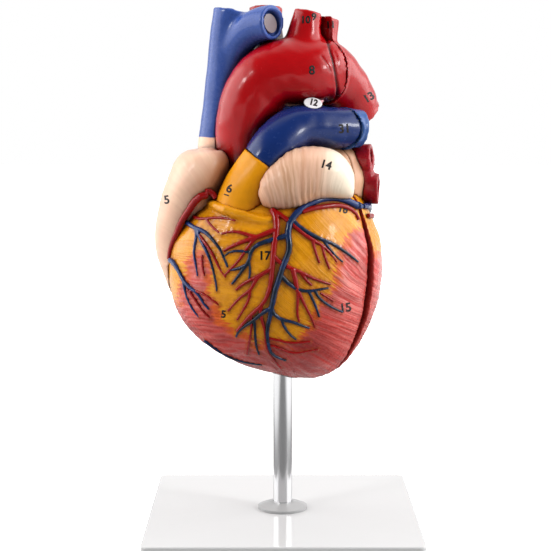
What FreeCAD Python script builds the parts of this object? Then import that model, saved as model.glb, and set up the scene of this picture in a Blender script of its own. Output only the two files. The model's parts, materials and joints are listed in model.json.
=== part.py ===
import FreeCAD, Part
import Mesh
import math
import os

from FreeCAD import Vector

# Human heart anatomy model, life size, in two halves on a rod and a square base.
# +X is to the right, +Y to the back, +Z up. The origin is on the rod's axis, at the height of
# the table under the feet. Heights of the heart are measured from its lowest point, the apex.

# ---- stand ----
base_side = 140.0
base_height = 12.5
base_wall = 2.4
base_corner = 3.5
base_edge = 1.0
foot_diameter = 12.0
foot_thickness = 3.0
foot_stand_out = 1.5
foot_inset = 14.0
foot_pad_wall = 2.0
boss_diameter = 18.0
rib_thickness = 2.0
rib_height = 5.0

rod_diameter = 10.0
rod_exposed = 70.0
rod_grip = 27.0
rod_tip_chamfer = 0.8
screw_diameter = 5.0
screw_depth_in_rod = 14.0
screw_head_diameter = 9.0
screw_head_height = 3.5
washer_diameter = 14.0
washer_thickness = 1.2
screw_clearance = 0.2
screw_head_recess = 1.0
screw_slot_width = 1.2
screw_slot_depth = 1.4
screw_end_gap = 1.0

collar_diameter = 26.0
collar_height = 4.2
collar_rim = 1.4
collar_clearance = 0.05

# ---- seam between the halves ----
seam_turn = 35.0
seam_distance = 15.5
seam_gap = 0.2
seam_step = 3.2

# ---- ventricles: height, left, right, front, back, depth of the widest point ----
outline_power = 2.2
ventricle_sections = [
    (0.3, 6.0, 18.0, -1.0, 7.0, 3.0),
    (2.0, -2.0, 23.0, -8.0, 14.0, 3.0),
    (4.5, -10.0, 28.0, -14.0, 20.0, 4.0),
    (8.0, -22.0, 32.0, -19.0, 26.0, 5.0),
    (12.0, -31.0, 35.8, -23.5, 31.0, 6.0),
    (18.0, -41.0, 40.3, -28.0, 35.0, 8.0),
    (25.0, -48.5, 44.5, -31.5, 38.5, 9.0),
    (33.0, -54.5, 48.0, -34.5, 41.0, 10.0),
    (42.0, -58.0, 50.8, -36.8, 43.0, 11.0),
    (52.0, -60.0, 52.2, -38.0, 44.5, 11.0),
    (62.0, -60.5, 52.5, -38.5, 45.0, 11.0),
    (72.0, -59.5, 51.2, -38.0, 44.5, 11.0),
    (81.0, -56.5, 48.4, -36.5, 43.0, 11.0),
    (88.0, -52.0, 45.3, -34.0, 40.5, 10.0),
    (94.0, -46.0, 42.0, -30.5, 37.0, 9.0),
    (98.0, -40.0, 38.0, -26.5, 33.0, 8.0),
    (100.0, -33.0, 33.0, -21.0, 27.0, 7.0),
]
left_chamber_sections = [
    (16.0, 16.0, 24.0, 5.0, 13.0, 9.0),
    (22.0, 10.0, 30.0, -3.0, 20.0, 9.0),
    (32.0, 5.0, 35.0, -11.0, 26.0, 9.0),
    (45.0, 1.0, 38.5, -16.0, 30.0, 9.0),
    (60.0, -1.0, 39.5, -18.0, 31.0, 9.0),
    (72.0, 0.0, 37.5, -16.0, 30.0, 9.0),
    (82.0, 4.0, 33.0, -11.0, 26.0, 9.0),
    (89.0, 10.0, 28.0, -2.0, 19.0, 9.0),
]
septum_thickness = 8.0
right_chamber_sections = [
    (20.0, -34.0, -20.0, -10.0, 14.0, 4.0),
    (28.0, -43.0, -12.0, -19.0, 26.0, 5.0),
    (40.0, -49.0, -5.0, -25.0, 36.0, 6.0),
    (55.0, -51.0, -2.0, -28.0, 38.0, 7.0),
    (70.0, -50.0, -2.0, -27.0, 37.5, 7.0),
    (80.0, -46.0, -8.0, -24.0, 33.0, 7.0),
    (88.0, -38.0, -16.0, -20.0, 22.0, 4.0),
]

# ---- atria: same columns as the ventricles ----
right_atrium_sections = [
    (44.0, -59.0, -50.0, 4.0, 16.0, 11.0),
    (53.0, -62.5, -44.0, -1.0, 24.0, 11.0),
    (63.0, -66.0, -40.0, -5.0, 29.0, 11.0),
    (75.0, -67.3, -36.0, -10.0, 33.0, 10.0),
    (88.0, -65.5, -32.0, -17.0, 35.0, 8.0),
    (98.0, -62.8, -28.0, -22.0, 35.0, 6.0),
    (106.0, -59.8, -26.5, -24.5, 34.0, 4.0),
    (112.0, -57.3, -25.5, -24.0, 32.0, 3.0),
    (117.0, -54.0, -26.0, -22.0, 28.0, 3.0),
    (120.0, -48.5, -29.0, -17.0, 22.0, 3.0),
    (121.2, -43.0, -34.0, -8.0, 12.0, 2.0),
]
left_atrium_sections = [
    (84.0, -4.0, 39.0, 0.0, 34.0, 18.0),
    (92.0, -12.0, 44.0, -10.0, 42.0, 17.0),
    (101.0, -16.0, 46.0, -14.0, 45.0, 16.0),
    (111.0, -15.0, 45.5, -13.0, 44.0, 16.0),
    (118.0, -8.0, 42.5, -9.0, 38.0, 16.0),
    (122.0, 4.0, 36.0, 2.0, 28.0, 15.0),
]
left_atrium_wall = 4.5
left_outflow_start = [(12.0, 6.0, 82.0), (-2.0, 5.0, 88.0)]
left_outflow_radii = [9.0, 9.5, 10.5]
right_outflow_start = [(-30.0, -8.0, 74.0), (-25.0, -15.0, 82.0)]
right_outflow_radii = [9.0, 10.0, 10.8]
# left auricle: distance to the right, bottom, top, front, back
left_auricle_sections = [
    (-12.4, 98.5, 103.0, -33.5, -28.0),
    (-11.2, 95.5, 107.0, -36.0, -22.0),
    (-8.5, 92.0, 112.0, -38.0, -16.0),
    (-4.0, 90.5, 116.5, -39.5, -11.0),
    (2.0, 90.5, 120.8, -40.5, -8.0),
    (9.0, 92.0, 122.5, -40.5, -6.0),
    (16.0, 95.5, 122.8, -39.5, -5.0),
    (23.0, 96.5, 121.8, -37.0, -4.0),
    (29.0, 96.0, 119.0, -33.5, -4.0),
    (33.5, 96.0, 114.0, -29.0, -5.0),
    (36.0, 99.0, 108.5, -24.0, -8.0),
]

# ---- great vessels: routes of centre lines and radii ----
aorta_route = [
    (-13.0, 5.0, 96.0), (-17.5, 3.0, 109.0), (-19.5, 1.0, 121.0), (-19.3, -1.0, 132.0),
    (-17.2, -2.5, 141.5), (-13.2, -3.0, 150.5), (-7.0, -3.0, 157.0), (1.0, -1.5, 159.6),
    (10.0, 1.0, 160.2), (18.0, 5.0, 160.6), (25.0, 10.5, 157.6), (30.5, 16.0, 152.5),
    (35.5, 21.0, 145.5), (39.5, 25.5, 138.5),
]
aorta_radii = [14.0, 15.2, 15.4, 16.6, 18.0, 14.8, 13.2]
aorta_wall = 2.6
pulmonary_route = [
    (-22.5, -18.5, 88.0), (-16.5, -20.0, 101.5), (-9.7, -20.0, 112.6), (-6.4, -19.5, 118.4),
    (-2.4, -18.0, 123.6), (2.1, -15.5, 128.0), (6.7, -13.0, 131.0), (15.0, -9.5, 131.8),
    (24.0, -5.6, 131.2), (33.0, -1.6, 131.3), (40.0, 1.8, 131.0),
]
pulmonary_radii = [13.4, 13.3, 13.0, 12.2, 11.8, 11.3, 10.5, 9.9]
pulmonary_wall = 2.2
pulmonary_border_height = 114.0
pulmonary_border_point = (-9.0, -20.0)
pulmonary_border_lean = 52.0
right_pulmonary_route = [
    (22.0, 5.0, 133.0), (11.0, 17.0, 135.8), (-6.0, 30.0, 135.5), (-30.0, 42.0, 133.0),
]
right_pulmonary_radii = [8.8, 8.2]
cava_route = [
    (-34.0, 12.5, 104.0), (-33.2, 12.0, 127.0), (-30.8, 11.5, 150.0), (-29.0, 11.0, 170.0),
    (-26.6, 10.5, 192.3),
]
cava_radii = [11.0, 10.6, 10.0, 9.7, 9.4]
cava_wall = 1.8
cava_bore_depth = 9.0
brachiocephalic_vein_route = [
    (-29.0, 11.0, 158.0), (-26.0, 9.0, 169.0), (-20.5, 5.0, 178.0), (-13.0, -0.8, 183.0),
    (-5.3, -7.2, 184.8),
]
brachiocephalic_vein_radii = [9.6, 9.2, 8.9, 8.8, 8.7]
vein_end_bore = 6.4
vein_end_depth = 3.0
vein_disc_radius = 4.9
vein_disc_thickness = 1.6
brachiocephalic_artery_route = [(-6.0, 2.0, 160.0), (-8.5, 9.0, 176.0), (-9.0, 13.0, 193.4)]
brachiocephalic_artery_radii = [9.4, 8.8, 8.7]
carotid_route = [(9.5, 0.0, 165.0), (10.8, 1.5, 178.0), (13.0, 2.5, 190.8)]
carotid_radii = [11.4, 9.0, 7.0]
subclavian_route = [(19.0, 8.0, 163.0), (20.0, 8.5, 176.0), (22.0, 9.0, 188.4)]
subclavian_radii = [9.4, 8.0, 7.4]
stub_bore_depth = 4.0
stub_wall = 2.2
lower_cava_route = [(-47.0, 22.0, 90.0), (-48.5, 33.0, 77.0), (-49.5, 39.5, 61.0)]
lower_cava_radii = [9.0, 8.5, 8.5]
ligament_route = [(15.5, -6.0, 139.0), (19.0, -3.5, 146.0), (23.0, 1.0, 150.0)]
ligament_radius = 1.9
left_vein_routes = [
    [(30.0, 11.0, 114.6), (38.5, 6.8, 115.2), (46.4, 4.4, 115.5)],
    [(32.0, 12.0, 100.4), (41.5, 7.2, 99.9), (50.2, 4.9, 99.7)],
]
right_vein_routes = [
    [(-2.0, 32.0, 113.0), (-15.0, 42.0, 114.0), (-27.0, 49.0, 115.0)],
    [(-2.0, 32.0, 98.0), (-15.0, 43.0, 98.0), (-27.0, 50.0, 97.0)],
]
lung_vein_radius = 8.0
lung_vein_bore = 5.2
lung_vein_bore_depth = 3.0

# ---- valves and inside parts ----
valve_leaf = 1.2
valve_opening = 5.0
valve_disc_reach = 18.0
aortic_valve_lift = 6.0
pulmonary_valve_lift = 9.0
mitral_center = (19.0, 11.0)
mitral_height = 88.5
mitral_radius = 10.5
mitral_lip_radius = 6.5
mitral_drop = 13.0
tricuspid_center = (-36.0, 10.0)
tricuspid_height = 84.0
tricuspid_radius = 10.0
tricuspid_lip_radius = 6.0
tricuspid_drop = 12.0
valve_seat_clearance = 0.05
valve_mouth_height = 14.0
papillary_radius = 4.2
papillary_tip_radius = 1.8
papillary_height = 26.0
papillary_feet = [(14.0, 29.0, 32.0), (31.0, 20.0, 34.0)]
papillary_tips_in = 0.55
chorda_radius = 0.45
chordae_per_muscle = 3
chorda_spread = 28.0
chorda_sink = 0.5
least_cord = 0.5

magnet_diameter = 6.0
magnet_thickness = 2.8
magnet_clearance = 0.05
# along the seam, height
magnet_places = [(15.0, 8.5), (37.0, 57.0), (-13.0, 50.0)]

socket_wall = 2.4
socket_ceiling = 2.5
socket_clearance = 0.08

# ---- vessels on the wall ----
# Each route is drawn on a flat plane in front of the heart and is thrown back onto the wall
# along lines from the eye point. Columns: first radius, last radius, points (right, up).
drawing_plane_y = -38.0
eye_point = (-4.8, -779.0, 150.0)
vessel_sink = 0.25
vessel_step = 3.0
mesh_deviation = 0.1
least_vessel = 0.3

groove_artery_route = (
    1.9, 1.2, [(-38, 100), (-43, 97.5), (-46, 93), (-49.5, 87.5), (-52.5, 81), (-55, 74.5), (-56.3, 68)])
artery_routes = [
    (0.9, 0.45, [(-46, 92.5), (-42, 87.5), (-38, 87.5), (-32.5, 88), (-27.5, 87.5), (-23.5, 86.5)]),
    (0.65, 0.4, [(-38, 87.5), (-35, 83.5), (-31.5, 80.5)]),
    (0.5, 0.95, [(-30.5, 80), (-26.5, 81), (-22.5, 81), (-17.5, 79.5), (-13, 78.5)]),
    (1.35, 0.6, [(-3.5, 82), (-9, 80), (-14, 78), (-19, 76.5), (-24, 74.5), (-29.5, 71.5)]),
    (0.8, 0.45, [(-13.2, 78.2), (-18.5, 72), (-21.5, 67.5), (-25.5, 63), (-29, 59.5)]),
    (1.6, 0.6, [
        (-5.5, 92), (-3.5, 87), (-3.5, 81), (-4.5, 74.5), (-5, 69.5), (-5.5, 63), (-6, 57),
        (-7.5, 50.5), (-10, 45.5), (-14, 41.5), (-18, 37.5), (-21, 34), (-23, 31.5),
    ]),
    (1.15, 0.45, [(-5, 69.5), (-1, 65.5), (3.5, 63), (8.5, 61), (13.5, 58.5), (18.5, 56.5), (23.5, 55)]),
    (1.15, 0.95, [(4.5, 62.8), (6, 57), (7, 51.5)]),
    (0.8, 0.4, [(6.5, 54.5), (7.3, 49.5), (7, 41), (8, 36)]),
    (0.8, 0.4, [(6.3, 55.5), (8.6, 49), (12, 42), (14.5, 37), (16, 33)]),
    (0.75, 0.5, [(8.5, 61), (11.5, 57), (14.2, 54.4)]),
    (0.5, 0.4, [(18.4, 50.6), (21.5, 48.6), (25, 46.5)]),
    (1.05, 0.5, [(-5.5, 63), (-10.5, 60), (-15.5, 57.5), (-20, 55), (-23.5, 52)]),
    (0.9, 0.4, [(-10.5, 60), (-14.5, 55.5), (-16.5, 52), (-20.5, 49), (-24, 45.5), (-27.5, 41.5)]),
    (0.7, 0.4, [(-16.5, 52), (-18, 45.5), (-20.5, 41), (-23, 37)]),
    (1.25, 0.5, [
        (-4.5, 91), (-1, 89), (3, 86), (7, 82.5), (11.5, 79), (15.5, 76.5), (19.5, 74), (23.5, 70),
        (26.5, 66),
    ]),
    (0.7, 0.4, [(14.5, 77), (16, 71), (18, 65.5)]),
    (0.65, 0.4, [(19, 74), (21, 67.5), (23, 62.5)]),
    (0.8, 0.5, [(-10.8, 44.6), (-10.9, 38), (-9, 32), (-8.5, 26), (-7, 20.5), (-4, 16), (-1, 12.5)]),
    (0.6, 0.4, [(-16, 39.6), (-15.8, 33.5), (-16.5, 28), (-17.5, 23), (-18, 19.5)]),
    (0.6, 0.45, [(-8.6, 28), (-1.5, 26.5), (3.5, 25.5), (8.5, 25.5), (13.5, 26)]),
    (0.6, 0.45, [(-8, 24.5), (-1.5, 22.5), (3.5, 20.5), (8.5, 20.5), (13.5, 21.5), (17.5, 22)]),
    (1.3, 0.9, [(9, 91), (14.5, 92.5), (19.5, 93.3), (25, 94), (30, 93.5), (34, 91.5), (37, 87)]),
    (0.8, 0.4, [(-47.5, 52.5), (-44.5, 48.5), (-42, 44.5), (-39, 40.5), (-36.5, 38)]),
    (0.65, 0.4, [(-46, 52), (-41.5, 51), (-36.5, 48), (-32, 44.5)]),
    (0.65, 0.4, [(-40, 69.5), (-40, 64.5), (-39, 59)]),
    (0.9, 0.4, [(-41.5, 79.5), (-38.5, 75.5), (-35.5, 71), (-33, 66), (-30.5, 61), (-28.5, 58.5)]),
]
vein_routes = [
    (1.8, 1.25, [
        (36, 93.5), (31, 96), (26, 97.3), (21, 97.3), (16, 96), (11.5, 94), (7.5, 91), (4.5, 87.5), (2.5, 83),
        (2.5, 78), (3, 73.5), (1.5, 68), (-0.5, 63), (-2, 58), (-4, 52), (-5, 47), (-6, 43),
    ]),
    (1.25, 0.5, [
        (2.3, 79.5), (-4, 77.5), (-9, 76), (-13.5, 74), (-16, 71), (-17, 67), (-19, 63.5),
        (-22, 59.5), (-25.5, 55),
    ]),
    (0.7, 0.4, [(-16, 71), (-21.5, 71.5), (-26.5, 71), (-29, 69)]),
    (0.8, 0.4, [(-18.5, 64.5), (-23.5, 62.5), (-27, 62)]),
    (0.6, 0.4, [(-17, 67), (-16.5, 61), (-17, 57.5)]),
    (1.15, 0.5, [
        (4.5, 87), (8.5, 83), (13.5, 80), (19.5, 77), (23.5, 75.5), (28.5, 72.5), (33.5, 69), (37, 66),
    ]),
    (0.75, 0.4, [(19.5, 77), (22.5, 73), (26, 69), (29.5, 66)]),
    (1.05, 0.45, [(-1.5, 60), (2.5, 55.5), (7, 52.5), (11.5, 51.5), (16.5, 52), (22.5, 53)]),
    (0.7, 0.4, [(12.5, 51.5), (15, 46.5), (17, 41.5), (18, 38.5)]),
    (0.7, 0.4, [(15.5, 52), (18.5, 47.5), (22.5, 44.5), (26, 42.5), (29.5, 41)]),
    (1.05, 0.45, [(-6, 43), (-10.5, 40.5), (-14, 37.5), (-17.5, 35), (-21.5, 32), (-23.5, 28.5)]),
    (1.1, 0.5, [(-6, 43), (-7, 37), (-8, 31), (-7.5, 25.5), (-6, 20.5), (-2.5, 18), (1.5, 16.5)]),
    (0.7, 0.4, [(-14.5, 37), (-14, 30.5), (-13.5, 24.5), (-12, 19.5)]),
    (1.0, 0.45, [(-6, 43), (-3.5, 39), (0, 37), (4.5, 36), (8.5, 34.5), (13, 33)]),
    (0.7, 0.4, [(-1, 37.5), (1.5, 32), (4, 29), (6.5, 27)]),
    (1.3, 0.5, [
        (-49.5, 88), (-46.5, 85), (-42.5, 82.5), (-39.5, 81.5), (-36.5, 79), (-33.5, 75.5), (-30.5, 71),
        (-28.5, 66), (-27.5, 63.5),
    ]),
    (0.9, 0.4, [(-43, 82.7), (-43, 77), (-44, 72), (-43.5, 66), (-42.5, 59)]),
    (0.9, 0.4, [(-42, 82.3), (-40, 75.5), (-37.5, 70.5), (-35.5, 65), (-34, 59), (-33, 51.5)]),
    (1.3, 0.5, [
        (-55.5, 67), (-51.5, 61.5), (-49, 56.5), (-46.5, 53.5), (-43, 51), (-40.5, 47), (-37, 42.5),
    ]),
    (0.8, 0.4, [(-49.3, 57), (-48, 49.5), (-45.5, 43.5), (-42, 38.5)]),
    (0.9, 0.5, [(-39, 27), (-32.5, 22), (-25.5, 18), (-17.5, 15.5), (-10.5, 14.5)]),
]
# The routes on the back are drawn on a plane behind the heart and are thrown straight forward.
back_plane_y = 60.0
sinus_route = (2.9, 2.2, [(44, 86), (36, 89), (26, 90), (14, 89), (2, 86.5), (-10, 83)])
back_artery_routes = [
    (1.5, 1.2, [(42, 80), (34, 83.5), (24, 84.5), (14, 83.5), (4, 80.5)]),
    (1.3, 0.6, [(4, 80.5), (-1, 70), (-3, 58), (-1, 45), (3, 32), (8, 20)]),
    (1.0, 0.5, [(24, 84.5), (25, 72), (28, 60), (30, 46), (29, 34)]),
    (0.8, 0.4, [(-2.4, 55), (-10, 48), (-16, 40)]),
    (0.8, 0.4, [(34, 83.5), (38, 72), (40, 60)]),
]
back_vein_routes = [
    (1.3, 0.6, [(6, 84.5), (4, 72), (3.5, 60), (5, 46), (9, 32), (13, 22)]),
    (1.0, 0.5, [(17, 86), (19, 74), (21, 60), (22, 46), (20, 34)]),
    (0.8, 0.4, [(4, 66), (12, 58), (16, 48)]),
    (0.8, 0.4, [(30, 87), (33, 74), (35, 62), (35, 50)]),
]

base_top = foot_stand_out + base_height
heart_datum = base_top + rod_exposed
section_points = 24
tube_points = 12
vessel_points = 8
reach = 400.0
overrun = 20.0
throw_start = 60.0
touching = 0.01

seam_normal = Vector(math.sin(math.radians(seam_turn)), math.cos(math.radians(seam_turn)), 0)
seam_along = Vector(seam_normal.y, -seam_normal.x, 0)
up = Vector(0, 0, 1)


# ---- shape helpers ----

def closed_curve(points):
    curve = Part.BSplineCurve()
    curve.interpolate(Points=points, PeriodicFlag=True)
    return Part.Wire([curve.toShape()])


def oval_point(angle, power):
    """A point of a unit oval; a power above 2 makes it squarer than an ellipse."""
    c = math.cos(angle)
    s = math.sin(angle)
    share = 2.0 / power
    return math.copysign(abs(c) ** share, c), math.copysign(abs(s) ** share, s)


def level_section(height, left, right, front, back, widest):
    """A level oval between its four extremes, with its widest point at the given depth."""
    points = []
    for k in range(section_points):
        u, v = oval_point(2 * math.pi * (k + 0.5) / section_points, outline_power)
        x = (left + right) / 2 + u * (right - left) / 2
        y = widest + v * (back - widest if v > 0 else widest - front)
        points.append(Vector(x, y, height))
    return closed_curve(points)


def level_loft(sections, grow=0.0):
    """A rounded solid through level sections, each grown sideways by the same amount."""
    wires = []
    for height, left, right, front, back, widest in sections:
        wires.append(level_section(height, left - grow, right + grow, front - grow, back + grow, widest))
    return Part.makeLoft(wires, True)


def upright_section(x, bottom, top, front, back):
    points = []
    for k in range(section_points):
        u, v = oval_point(2 * math.pi * (k + 0.5) / section_points, outline_power)
        y = (front + back) / 2 + u * (back - front) / 2
        z = (bottom + top) / 2 + v * (top - bottom) / 2
        points.append(Vector(x, y, z))
    return closed_curve(points)


def blend_list(values, share):
    """The value at a share, from 0 to 1, along a list of evenly spread values."""
    place = share * (len(values) - 1)
    k = min(int(place), len(values) - 2)
    return values[k] + (values[k + 1] - values[k]) * (place - k)


def tube(route, radii, shrink=0.0, stations=None, points=tube_points, ruled=False):
    """A round tube along a smooth line through the route, with a changing radius."""
    line = Part.BSplineCurve()
    line.interpolate(Points=[Vector(*p) for p in route])
    stations = stations or max(2 * len(route) - 1, 4)
    first, last = line.FirstParameter, line.LastParameter
    side = None
    rings = []
    for k in range(stations):
        share = k / (stations - 1)
        u = first + (last - first) * share
        along = line.tangent(u)[0]
        if side is None:
            side = Vector(1, 0, 0) if abs(along.x) < 0.7 else Vector(0, 1, 0)
        side = (side - along * side.dot(along)).normalize()
        other = along.cross(side)
        radius = blend_list(radii, share) - shrink
        center = line.value(u)
        ring = []
        for j in range(points):
            angle = 2 * math.pi * j / points
            ring.append(center + side * (radius * math.cos(angle)) + other * (radius * math.sin(angle)))
        rings.append(closed_curve(ring))
    return Part.makeLoft(rings, True, ruled)


def cylinder(radius, height, foot, axis=up):
    return Part.makeCylinder(radius, height, foot, axis)


def in_front(shape):
    """What of a shape lies in front of the seam."""
    return shape.cut(half_space(seam_distance, 1))


def behind(shape):
    """What of a shape lies behind the seam and its gap."""
    return shape.cut(half_space(seam_distance + seam_gap, -1))


def half_space(distance, way):
    """A big box on one side of a plane parallel to the seam."""
    box = Part.makeBox(2 * reach, reach, 2 * reach, Vector(-reach, 0 if way > 0 else -reach, -reach))
    box.translate(Vector(0, distance, 0))
    box.rotate(Vector(0, 0, 0), up, -seam_turn)
    return box


def end_of(route, back_off=0.0):
    """The end point of a tube's route, moved back along its last run, and its direction."""
    last = Vector(*route[-1])
    along = (last - Vector(*route[-2])).normalize()
    return last - along * back_off, along


def cut_all(shape, *tools):
    for tool in tools:
        shape = shape.cut(tool)
    return shape


def joined(shapes):
    result = shapes[0]
    if len(shapes) > 1:
        result = result.fuse(shapes[1:])
    return result


def big_solids(shape, least=0.02):
    """The solids of a shape that are more than crumbs."""
    return [s for s in shape.Solids if s.Volume > least]


# ---- vessels thrown onto the wall ----

def wall_mesh(shape):
    return Mesh.Mesh(shape.tessellate(mesh_deviation))


def throw(mesh, start, way):
    """The first point of the wall on a line, with the wall's outward normal there."""
    hits = mesh.nearestFacetOnRay(tuple(start), tuple(way))
    if not hits:
        return None
    index, point = list(hits.items())[0]
    normal = Vector(*mesh.Facets[index].Normal)
    if normal.dot(way) > 0:
        normal = normal * -1
    return Vector(*point), normal


def drawn_curve(points):
    """Evenly spaced points of a smooth line through the drawn points."""
    curve = Part.BSplineCurve()
    curve.interpolate(Points=[Vector(x, 0, z) for x, z in points])
    steps = max(3, round(curve.length() / vessel_step))
    return curve.discretize(Number=steps + 1)


def wall_vessel(mesh, first_radius, last_radius, points, from_back=False):
    """One vessel that follows the wall, a little sunk into it."""
    eye = Vector(*eye_point)
    drawn = drawn_curve(points)
    centers = []
    for k, point in enumerate(drawn):
        if from_back:
            start = Vector(point.x, back_plane_y, point.z)
            way = Vector(0, -1, 0)
        else:
            start = Vector(point.x, drawing_plane_y, point.z)
            way = (start - eye).normalize()
            start = start - way * throw_start
        hit = throw(mesh, start, way)
        if hit is None:
            continue
        radius = first_radius + (last_radius - first_radius) * k / (len(drawn) - 1)
        centers.append(hit[0] + hit[1] * (radius * (1 - 2 * vessel_sink)))
    route = [tuple(c) for c in centers]
    return tube(route, [first_radius, last_radius], 0.0, len(route), vessel_points, True)


def vessel_tree(mesh, routes, neighbours, placed, from_back=False):
    """Vessels cast into the wall. Each gives way to its neighbours and to those placed before it."""
    pieces = []
    for route in routes:
        vessel = wall_vessel(mesh, *route, from_back=from_back)
        box = vessel.BoundBox
        for tool in neighbours + placed:
            if tool.BoundBox.intersect(box):
                vessel = vessel.cut(tool)
        found = big_solids(vessel, least_vessel)
        pieces.extend(found)
        placed.extend(found)
    return pieces


# ---- stand ----

def make_base():
    corner = Vector(-base_side / 2, -base_side / 2, foot_stand_out)
    outer = Part.makeBox(base_side, base_side, base_height, corner)
    uprights = [e for e in outer.Edges if abs(e.Vertexes[0].Z - e.Vertexes[1].Z) > base_height / 2]
    outer = outer.makeFillet(base_corner, uprights)
    rim = [e for e in outer.Edges if all(abs(v.Z - base_top) < touching for v in e.Vertexes)]
    outer = outer.makeFillet(base_edge, rim)
    inside = base_side - 2 * base_wall
    depth = base_height - base_wall
    hollow = Part.makeBox(inside, inside, depth, Vector(-inside / 2, -inside / 2, foot_stand_out))
    shell = outer.cut(hollow)
    extras = [cylinder(boss_diameter / 2, depth, Vector(0, 0, foot_stand_out))]
    rib_length = inside * math.sqrt(2)
    rib_corner = Vector(-rib_length / 2, -rib_thickness / 2, foot_stand_out + depth - rib_height)
    for turn in (45, 135):
        rib = Part.makeBox(rib_length, rib_thickness, rib_height, rib_corner)
        rib.rotate(Vector(0, 0, 0), up, turn)
        extras.append(rib)
    for x, y in foot_places():
        extras.append(cylinder(foot_diameter / 2 + foot_pad_wall, depth, Vector(x, y, foot_stand_out)))
    shell = shell.fuse([e.common(outer) for e in extras])
    recess_depth = foot_thickness - foot_stand_out
    for x, y in foot_places():
        shell = shell.cut(cylinder(foot_diameter / 2, recess_depth, Vector(x, y, foot_stand_out)))
    under = Vector(0, 0, foot_stand_out)
    shell = shell.cut(cylinder(screw_diameter / 2 + screw_clearance, base_height, under))
    pocket = screw_seat() - foot_stand_out
    return shell.cut(cylinder(washer_diameter / 2 + screw_clearance, pocket, under))


def foot_places():
    spread = base_side / 2 - foot_inset
    return [(x, y) for x in (-spread, spread) for y in (-spread, spread)]


def make_feet():
    feet = [cylinder(foot_diameter / 2, foot_thickness, Vector(x, y, 0)) for x, y in foot_places()]
    return Part.makeCompound(feet)


def make_collar():
    rise = collar_height - collar_rim
    dome_radius = (collar_diameter ** 2 / 4 + rise ** 2) / (2 * rise)
    dome = Part.makeSphere(dome_radius, Vector(0, 0, base_top + collar_height - dome_radius))
    disc = cylinder(collar_diameter / 2, collar_height, Vector(0, 0, base_top))
    bore = cylinder(rod_diameter / 2 + collar_clearance, collar_height, Vector(0, 0, base_top))
    return disc.common(dome).cut(bore)


def make_rod():
    rod = cylinder(rod_diameter / 2, rod_exposed + rod_grip, Vector(0, 0, base_top))
    ends = [e for e in rod.Edges if len(e.Vertexes) == 1]
    tip = [e for e in ends if abs(e.Vertexes[0].Z - heart_datum - rod_grip) < touching]
    rod = rod.makeChamfer(rod_tip_chamfer, tip)
    return rod.cut(cylinder(screw_diameter / 2, screw_depth_in_rod, Vector(0, 0, base_top)))


def screw_seat():
    """The height of the face under the base's top that the washer bears on."""
    return foot_stand_out + screw_head_recess + screw_head_height + washer_thickness


def make_screw():
    head_foot = screw_seat() - washer_thickness - screw_head_height
    head = cylinder(screw_head_diameter / 2, screw_head_height, Vector(0, 0, head_foot))
    slot_corner = Vector(-screw_head_diameter / 2, -screw_slot_width / 2, head_foot)
    slot = Part.makeBox(screw_head_diameter, screw_slot_width, screw_slot_depth, slot_corner)
    shank_foot = head_foot + screw_head_height
    top = base_top + screw_depth_in_rod - screw_end_gap
    shank = cylinder(screw_diameter / 2, top - shank_foot, Vector(0, 0, shank_foot))
    return head.cut(slot).fuse(shank)


def make_washer():
    foot = Vector(0, 0, screw_seat() - washer_thickness)
    washer = cylinder(washer_diameter / 2, washer_thickness, foot)
    return washer.cut(cylinder(screw_diameter / 2, washer_thickness, foot))


# ---- heart bodies before they are cut to one another ----

def stepped_sections():
    """The ventricles of the front half, drawn in along the right side of the seam."""
    low = ventricle_sections[0][0]
    high = ventricle_sections[-1][0]
    sections = []
    for height, left, right, front, back, widest in ventricle_sections:
        share = (height - low) / (high - low)
        step = seam_step * math.sin(math.pi * share)
        sections.append((height, left, right - step, front, back, widest))
    return sections


def seam_point(along, height, distance):
    return seam_along * along + seam_normal * distance + up * height


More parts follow.
